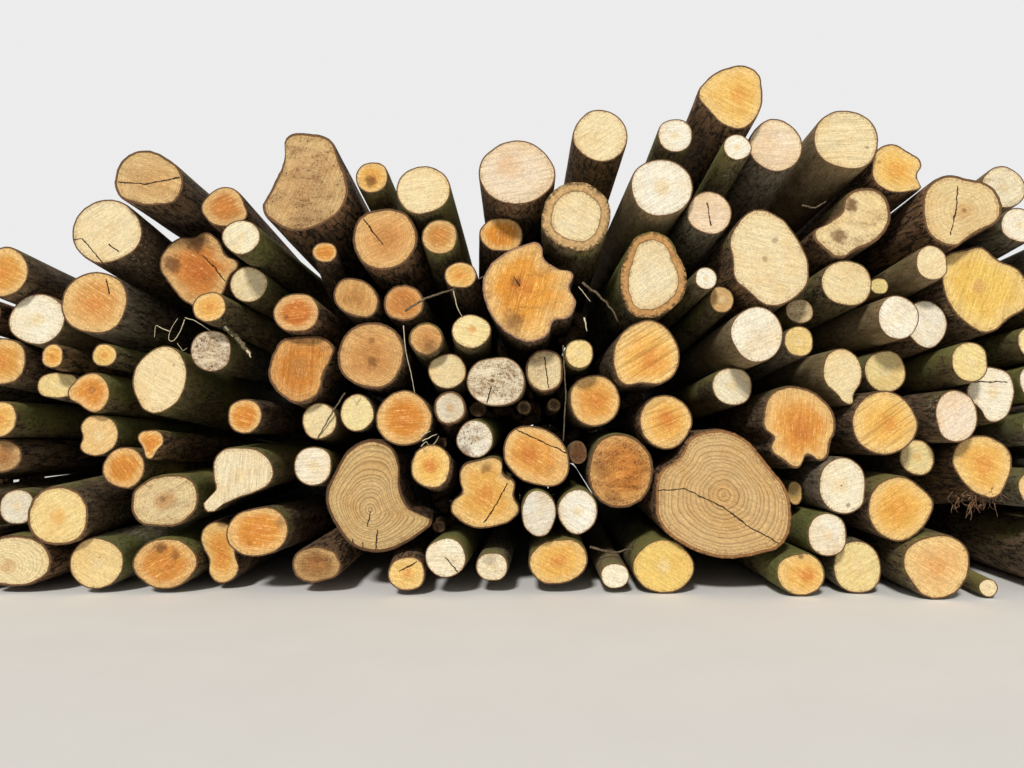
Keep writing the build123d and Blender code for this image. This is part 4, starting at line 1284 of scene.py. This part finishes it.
def joined(triangles: np.ndarray, count: int) -> np.ndarray:
    """Finds which points hang together: each takes the least label of its triangles until none changes.

    Args:
        triangles: Rows of three points.
        count: How many points there are.

    Returns:
        A label for each point, the same for all points of one solid.
    """
    label = np.arange(count)
    while True:
        least = label[triangles].min(1)
        following = label.copy()
        np.minimum.at(following, triangles.ravel(), np.repeat(least, 3))
        following = following[following]
        if (following == label).all():
            return label
        label = following


def measure(spots: np.ndarray, own: np.ndarray, wood: Wood, number: int) -> Stem:
    """Measures one log.

    Its cut ends are its flat faces: the front's mean normal gives the log's direction, and the points that
    they share with its side are its outlines.

    Args:
        spots: Points, as rows of x, y, z.
        own: The log's triangles.
        wood: What it is made of.
        number: Its number.

    Returns:
        The log.
    """
    a, b, c = spots[own[:, 0]], spots[own[:, 1]], spots[own[:, 2]]
    area = np.cross(b - a, c - a) / 2
    size = np.linalg.norm(area, axis=1) + LEAST_AREA
    lengthwise = area[:, 1] / size
    ends = []
    for sign in (-1, 1):
        flat = lengthwise * sign > ENDWISE
        middle = ((a + b + c)[flat] / 3 * size[flat, None]).sum(0) / size[flat].sum()
        ends.append((middle, area[flat].sum(0), spots[np.intersect1d(own[flat], own[~flat])]))
    (front, normal, front_rim), (far, _, _) = ends
    along = -normal / np.linalg.norm(normal)
    up = np.cross([1.0, 0.0, 0.0], along)
    up /= np.linalg.norm(up)
    right = np.cross(along, up)
    radius = 0.5 * np.ptp(front_rim[:, 2])
    steps = next((count for limit, count in ROUND_STEPS if radius < limit), MOST_STEPS)
    around = np.arange(steps) * math.tau / steps
    radii = []
    for middle, _, rim in ends:
        x, z = (rim - middle) @ right, (rim - middle) @ up
        radii.append(np.interp(around, np.arctan2(z, x), np.hypot(x, z), period=math.tau))
    return Stem(wood, number, front, far, right, up, *radii)


def read_stems(node: bpy.types.Object, wood: Wood, first: int) -> list[Stem]:
    """Finds the separate logs of a CAD node and measures each one.

    Args:
        node: The CAD node.
        wood: What its logs are made of.
        first: The number of its first log.

    Returns:
        One Stem a log.
    """
    mesh = node.data
    spots = np.empty(len(mesh.vertices) * 3, np.float32)
    mesh.vertices.foreach_get("co", spots)
    corners = np.empty(len(mesh.polygons) * 3, np.int32)
    mesh.polygons.foreach_get("vertices", corners)
    spots, place = np.unique(np.round(spots.reshape(-1, 3).astype(float), 5), axis=0, return_inverse=True)
    triangles = place.ravel()[corners.reshape(-1, 3)]
    label = joined(triangles, len(spots))
    owner = label[triangles[:, 0]]
    names = enumerate(np.unique(label), first)
    return [measure(spots, triangles[owner == name], wood, number) for number, name in names]


@dataclass
class Stack:
    """All the logs: one piece for each CAD node, with each look on the end that shows at its place."""

    eye: Eye
    stems: dict = field(default_factory=dict)
    looks: dict = field(default_factory=dict)

    def read(self) -> None:
        """Reads every log from the CAD nodes."""
        number = 0
        for name in sorted(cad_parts):
            found = read_stems(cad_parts[name], Wood(name.split("_")[0]), number)
            self.stems[name] = found
            number += len(found)
        log.info("read %d logs in %d nodes", number, len(self.stems))

    def match(self) -> None:
        """Gives each look to the log whose front end shows nearest to it.

        The rest get a spare tint of their wood, or where they lie deep in the stack the dark look,
        which is dirt with painted shade.
        """
        stems = [stem for found in self.stems.values() for stem in found]
        seen = self.eye.pixel(np.array([stem.front for stem in stems]))
        wanted = np.array([(look.across, look.down) for look in LOOKS])
        apart = np.linalg.norm(seen[:, None] - wanted[None], axis=2)
        taken = set()
        for index in np.argsort(apart, axis=None):
            i, j = divmod(int(index), len(LOOKS))
            if apart[i, j] > MATCH_REACH:
                break
            if stems[i].number not in self.looks and j not in taken:
                self.looks[stems[i].number] = LOOKS[j]
                taken.add(j)
        for stem in stems:
            tints = SPARE_TINTS[stem.wood]
            spare = Look(0, 0, tints[stem.number % len(tints)], soil=0.1 + 0.12 * (stem.number % 3))
            # An end deep in the stack gets the dark look: dirt and painted shade
            if stem.front[1] - self.eye.front_plane > DEEP:
                spare = DEEP_SHADE_LOOK
            self.looks.setdefault(stem.number, spare)
        log.info("matched %d of %d looks", len(taken), len(LOOKS))

    def build(self) -> None:
        """Builds every node's detailed piece."""
        cuts = {wood: finish.build() for wood, finish in CUTS.items()}
        barks = {wood: finish.build() for wood, finish in BARKS.items()}
        for name, found in self.stems.items():
            shell = Shell()
            for stem in found:
                stem.dress(shell, self.looks[stem.number], self.eye)
            wood = found[0].wood
            piece = shell.build(name + "_sawn", [barks[wood], cuts[wood]])
            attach(piece, "root")
            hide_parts(name)
            log.info("%s: %d logs, %d triangles", piece.name, len(found), len(piece.data.polygons))


# The grain of what is caught between the logs, and its relief's height in metres
LITTER_GRAIN = Noise(95.0, 4.0, 0.65)
LITTER_RELIEF = 0.002
# Rings along a twig and points round it, and how often the bends of its middle line are rounded
TWIG_RINGS = 28
TWIG_STEPS = 8
BEND_ROUNDS = 6
# How far a twig strays from its path against its radius, its bends a metre, and its uneven places a metre
TWIG_STRAY = 1.5
TWIG_BENDS = 55.0
TWIG_KNOBS = 45.0


class Litter(Enum):
    """What is caught between the logs, and dark scraps that paint shade in the gaps: its darker and its
    lighter colour.
    """

    TWIG = ("4A3D2E", "8A7A62")
    GREEN_TWIG = ("453C28", "857A5A")
    STRAND = ("C9B88E", "F1E8CC")
    SHRED = ("6E4630", "C09A78")
    # Dark scraps that paint the shade deep in the gaps
    GAP_SHADE_BARK = ("2E2419", "6B543C")

    def build(self) -> bpy.types.Material:
        """Makes the material: two colours mixed by noise, with fine relief."""
        dark, light = self.value
        tree = Tree(bpy.data.materials.new(self.name.lower()))
        grain = tree.noise(tree.place(), LITTER_GRAIN)
        colour = tree.mix(grain.step(0.3, 0.7), linear(dark), linear(light))
        return tree.finish(colour, BARK_ROUGHNESS, grain, LITTER_RELIEF)


@dataclass(frozen=True)
class Twig:
    """A loose twig, strand or shred.

    Args:
        path: Where it runs, as pixels from the left and from the top.
        depth: How far behind the plane of the front ends it runs, at its start and at its end.
        thick: Its radius in metres at its start and at its end.
    """

    path: tuple
    depth: tuple[float, float]
    thick: tuple[float, float]

    def line(self, eye: Eye, number: int) -> np.ndarray:
        """The middle line: the path at even steps of its length, with its bends rounded, moved by noise.

        Args:
            eye: Turns the path's pixels into places.
            number: Another number gives other noise.

        Returns:
            Rows of x, y, z.
        """
        depths = np.linspace(*self.depth, len(self.path))
        knots = np.array([eye.point(*spot, depth) for spot, depth in zip(self.path, depths)])
        gone = np.concatenate([[0.0], np.cumsum(np.linalg.norm(np.diff(knots, axis=0), axis=1))])
        along = np.linspace(0.0, gone[-1], TWIG_RINGS)
        line = np.stack([np.interp(along, gone, knots[:, k]) for k in range(3)], 1)
        for _ in range(BEND_ROUNDS):
            line[1:-1] = 0.25 * line[:-2] + 0.5 * line[1:-1] + 0.25 * line[2:]
        for k in range(3):
            line[:, k] += self.thick[0] * TWIG_STRAY * (scatter(line * TWIG_BENDS, number + 11 * k) - 0.5)
        return line

    def dress(self, shell: Shell, eye: Eye, number: int) -> None:
        """Adds the twig to the shell: a tapering, uneven tube with closed ends.

        Its rings stand square to its middle line, each point at the cosine of its angle along one direction
        across the line and at the sine along the other.

        Args:
            shell: Takes the arrays.
            eye: Turns the path's pixels into places.
            number: Another number gives other noise.
        """
        line = self.line(eye, number)
        ahead = np.gradient(line, axis=0)
        ahead /= np.linalg.norm(ahead, axis=1)[:, None]
        side = np.cross(ahead, [0.0, 1.0, 0.0])
        side /= np.linalg.norm(side, axis=1)[:, None]
        other = np.cross(ahead, side)
        turn = np.arange(TWIG_STEPS) * math.tau / TWIG_STEPS
        ring = np.cos(turn)[None, :, None] * side[:, None] + np.sin(turn)[None, :, None] * other[:, None]
        uneven = 0.85 + 0.3 * scatter(line * TWIG_KNOBS, number)
        radius = np.linspace(*self.thick, TWIG_RINGS)[:, None] * uneven[:, None]
        wall = (line[:, None] + radius[..., None] * ring).reshape(-1, 3)
        faces = Stem.wall(TWIG_RINGS, TWIG_STEPS)
        step = np.arange(TWIG_STEPS)
        following = (step + 1) % TWIG_STEPS
        last = (TWIG_RINGS - 1) * TWIG_STEPS
        first_cap = np.stack([np.full(TWIG_STEPS, len(wall)), following, step], 1)
        last_cap = np.stack([np.full(TWIG_STEPS, len(wall) + 1), last + step, last + following], 1)
        points = np.concatenate([wall, line[[0, -1]]])
        faces = np.concatenate([faces, first_cap, last_cap])
        shell.add(points, faces, np.zeros(len(faces), int), np.zeros((len(points), 2)),
                  {"rim": np.zeros(len(points))}, {})


# The shreds' seed, and their radius in metres at the start and at the end
SHRED_SEED = 5
SHRED_THICK = (0.0017, 0.0006)


def shreds(across: tuple[float, float], down: tuple[float, float], count: int) -> tuple[Twig, ...]:
    """Torn shreds that hang from the underside of an end.

    Args:
        across: Where they begin, from the left.
        down: Where they begin, from the top.
        count: How many there are.

    Returns:
        The shreds, each with its own length and way.
    """
    chance = np.random.default_rng(SHRED_SEED)
    begin = chance.uniform((across[0], down[0]), (across[1], down[1]), (count, 2))
    way = chance.normal((0.0, 6.0), (5.0, 5.0), (count, 2))
    bend = chance.normal(0.0, 2.0, (count, 2))
    depth = chance.uniform(0.0, 0.12, count)
    return tuple(Twig((tuple(b), tuple(b + w / 2 + s), tuple(b + w)), (d, d + 0.02), SHRED_THICK)
                 for b, w, s, d in zip(begin, way, bend, depth))


# Dark bark scraps deep in the gaps, as painted shade: two ends in the picture (x, y, x, y) and a half width,
# all in pixels
SHADE_SCRAPS = (
    (495, 411, 520, 409, 5.5), (519, 424, 535, 420, 6.0), (577, 316, 580, 336, 5.0),
    (571, 339, 576, 332, 5.0), (504, 348, 505, 360, 4.5), (561, 389, 561, 403, 4.5),
    (529, 391, 530, 404, 3.5), (631, 398, 638, 400, 4.5), (536, 408, 537, 419, 4.0),
    (546, 427, 554, 428, 4.0), (588, 429, 599, 429, 3.0), (563, 441, 569, 441, 3.0),
    (552, 485, 552, 492, 3.0), (565, 344, 577, 331, 5.5), (569, 440, 577, 434, 4.0),
    (576, 377, 584, 371, 4.5), (624, 404, 637, 399, 4.5), (525, 380, 530, 389, 4.5),
    (530, 403, 535, 408, 4.0), (476, 418, 500, 413, 4.5), (515, 413, 521, 419, 4.0),
    (446, 439, 454, 445, 4.0), (472, 400, 480, 403, 3.5), (555, 434, 563, 440, 4.0),
    (26, 480, 46, 477, 3.5), (1, 483, 10, 481, 4.0), (437, 493, 448, 505, 7.0),
    (448, 525, 457, 515, 5.0),
)
# How far behind the plane of the front ends they lie, in metres
SHADE_SCRAP_DEPTH = (0.50, 0.55)
# Each piece's kind and its twigs
TWIGS = {
    "lodged_twigs": (Litter.TWIG, (
        Twig(((405, 310), (425, 297), (447, 291), (470, 281), (484, 276)), (-0.02, 0.1), (0.006, 0.004)),
        Twig(((583, 282), (600, 295), (612, 308), (619, 321)), (0.0, 0.05), (0.007, 0.004)),
        Twig(((563, 345), (566, 395), (563, 441)), (0.03, 0.08), (0.0035, 0.003)),
        Twig(((345, 393), (332, 413), (317, 440)), (0.02, 0.05), (0.0045, 0.003)),
        Twig(((806, 203), (818, 206), (830, 199)), (0.02, 0.1), (0.005, 0.003)),
        Twig(((590, 545), (612, 552), (634, 546)), (0.1, 0.2), (0.007, 0.004)),
    )),
    "branch_stub": (Litter.GREEN_TWIG, (
        Twig(((222, 324), (234, 337), (250, 355)), (0.02, 0.0), (0.015, 0.0105)),
    )),
    "bark_strands": (Litter.STRAND, (
        Twig(((153, 337), (154, 324), (160, 328), (168, 331)), (0.01, 0.0), (0.0011, 0.0021)),
        Twig(((176, 318), (170, 327), (166, 339), (169, 343), (174, 340), (179, 331), (183, 319)),
             (0.0, 0.01), (0.0012, 0.0020)),
        Twig(((183, 317), (193, 320), (203, 326), (211, 332)), (-0.02, 0.0), (0.0022, 0.0010)),
        Twig(((176, 343), (182, 351), (186, 348)), (0.01, 0.01), (0.0014, 0.0008)),
        Twig(((224, 326), (228, 330), (231, 336)), (0.0, 0.0), (0.0060, 0.0025)),
        Twig(((246, 350), (249, 353), (251, 357)), (-0.01, -0.01), (0.0060, 0.0030)),
        Twig(((453, 290), (456, 305), (464, 321)), (-0.01, 0.0), (0.0028, 0.0014)),
        Twig(((403, 325), (405, 350), (412, 378), (418, 411)), (-0.01, 0.02), (0.0022, 0.0012)),
        Twig(((579, 286), (591, 301)), (0.0, 0.02), (0.0028, 0.0015)),
        Twig(((585, 317), (587, 331)), (0.02, 0.02), (0.005, 0.002)),
        Twig(((421, 437), (426, 433), (431, 431)), (0.0, 0.0), (0.0030, 0.0012)),
        Twig(((423, 441), (430, 437), (437, 434)), (0.0, 0.0), (0.0034, 0.0012)),
        Twig(((421, 446), (427, 441), (429, 445)), (0.0, 0.0), (0.0026, 0.0010)),
        Twig(((431, 446), (436, 442), (439, 436)), (0.0, 0.0), (0.0022, 0.0010)),
        Twig(((352, 396), (356, 403), (361, 396)), (-0.01, 0.0), (0.003, 0.0015)),
    )),
    # Dark scraps deep in the gaps, as painted shade
    "lodged_bark": (Litter.GAP_SHADE_BARK, tuple(
        Twig(((x0, y0), (x1, y1)), SHADE_SCRAP_DEPTH, (half * PIXEL * 1.15, half * PIXEL))
        for x0, y0, x1, y1, half in SHADE_SCRAPS
    )),
    "wood_shreds": (Litter.SHRED, shreds((950, 996), (488, 505), 64)),
}


def build_twigs(eye: Eye) -> None:
    """Builds what is caught between the logs and the dark scraps of painted shade, one piece for each kind.
    """
    for name, (kind, twigs) in TWIGS.items():
        shell = Shell()
        for number, twig in enumerate(twigs):
            twig.dress(shell, eye, 7 * number + len(name))
        piece = shell.build(name, [kind.build()])
        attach(piece, "root")
        log.info("%s: %d of them, %d triangles", name, len(twigs), len(piece.data.polygons))


# The floor's half width and its relief's height, in metres, and its grain
FLOOR_HALF = 60.0
FLOOR_GRAIN = Noise(3.0, 3.0)
FLOOR_RELIEF = 0.0005


def build_floor() -> None:
    """Lays the pale floor."""
    mesh = bpy.data.meshes.new("floor")
    corners = [(x * FLOOR_HALF, y * FLOOR_HALF, 0) for x, y in ((-1, -1), (1, -1), (1, 1), (-1, 1))]
    mesh.from_pydata(corners, [], [(0, 1, 2, 3)])
    floor = bpy.data.objects.new("floor", mesh)
    bpy.context.scene.collection.objects.link(floor)
    tree = Tree(bpy.data.materials.new("floor"))
    grain = tree.noise(tree.place(), FLOOR_GRAIN)
    colour = tree.mix(grain, linear("E6E5E2"), linear("ECEBE8"))
    mesh.materials.append(tree.finish(colour, 0.9, grain, FLOOR_RELIEF))


def build_light() -> None:
    """Lights the scene softly from above and in front, with a pale background."""
    scene = bpy.context.scene
    scene.view_settings.view_transform = "Standard"
    world = bpy.data.worlds.new("studio")
    scene.world = world
    tree = Tree(world)
    tree.shader.inputs["Color"].default_value = (1.0, 1.0, 1.0, 1.0)
    camera, glossy, clear = (tree.node("LightPath", {}, {}, f"Is {kind} Ray")
                             for kind in ("Camera", "Glossy", "Transmission"))
    seen = (camera + glossy + clear).limited()
    level = tree.node("MapRange", {}, {"Value": seen, "To Min": SKY_LIGHT, "To Max": SKY_SEEN})
    tree.links.new(level.socket, tree.shader.inputs["Strength"])
    data = bpy.data.lights.new("key", "SUN")
    data.energy = KEY_LIGHT
    data.angle = KEY_SIZE
    data.color = KEY_COLOUR
    key = bpy.data.objects.new("key", data)
    key.rotation_euler = KEY_TURN
    scene.collection.objects.link(key)


def main() -> None:
    """Builds the camera, the lights, the floor and every log, and notes the sizes."""
    eye = Eye()
    eye.build()
    build_light()
    build_floor()
    stack = Stack(eye)
    stack.read()
    stack.match()
    stack.build()
    build_twigs(eye)


if __name__ == "__main__":
    main()
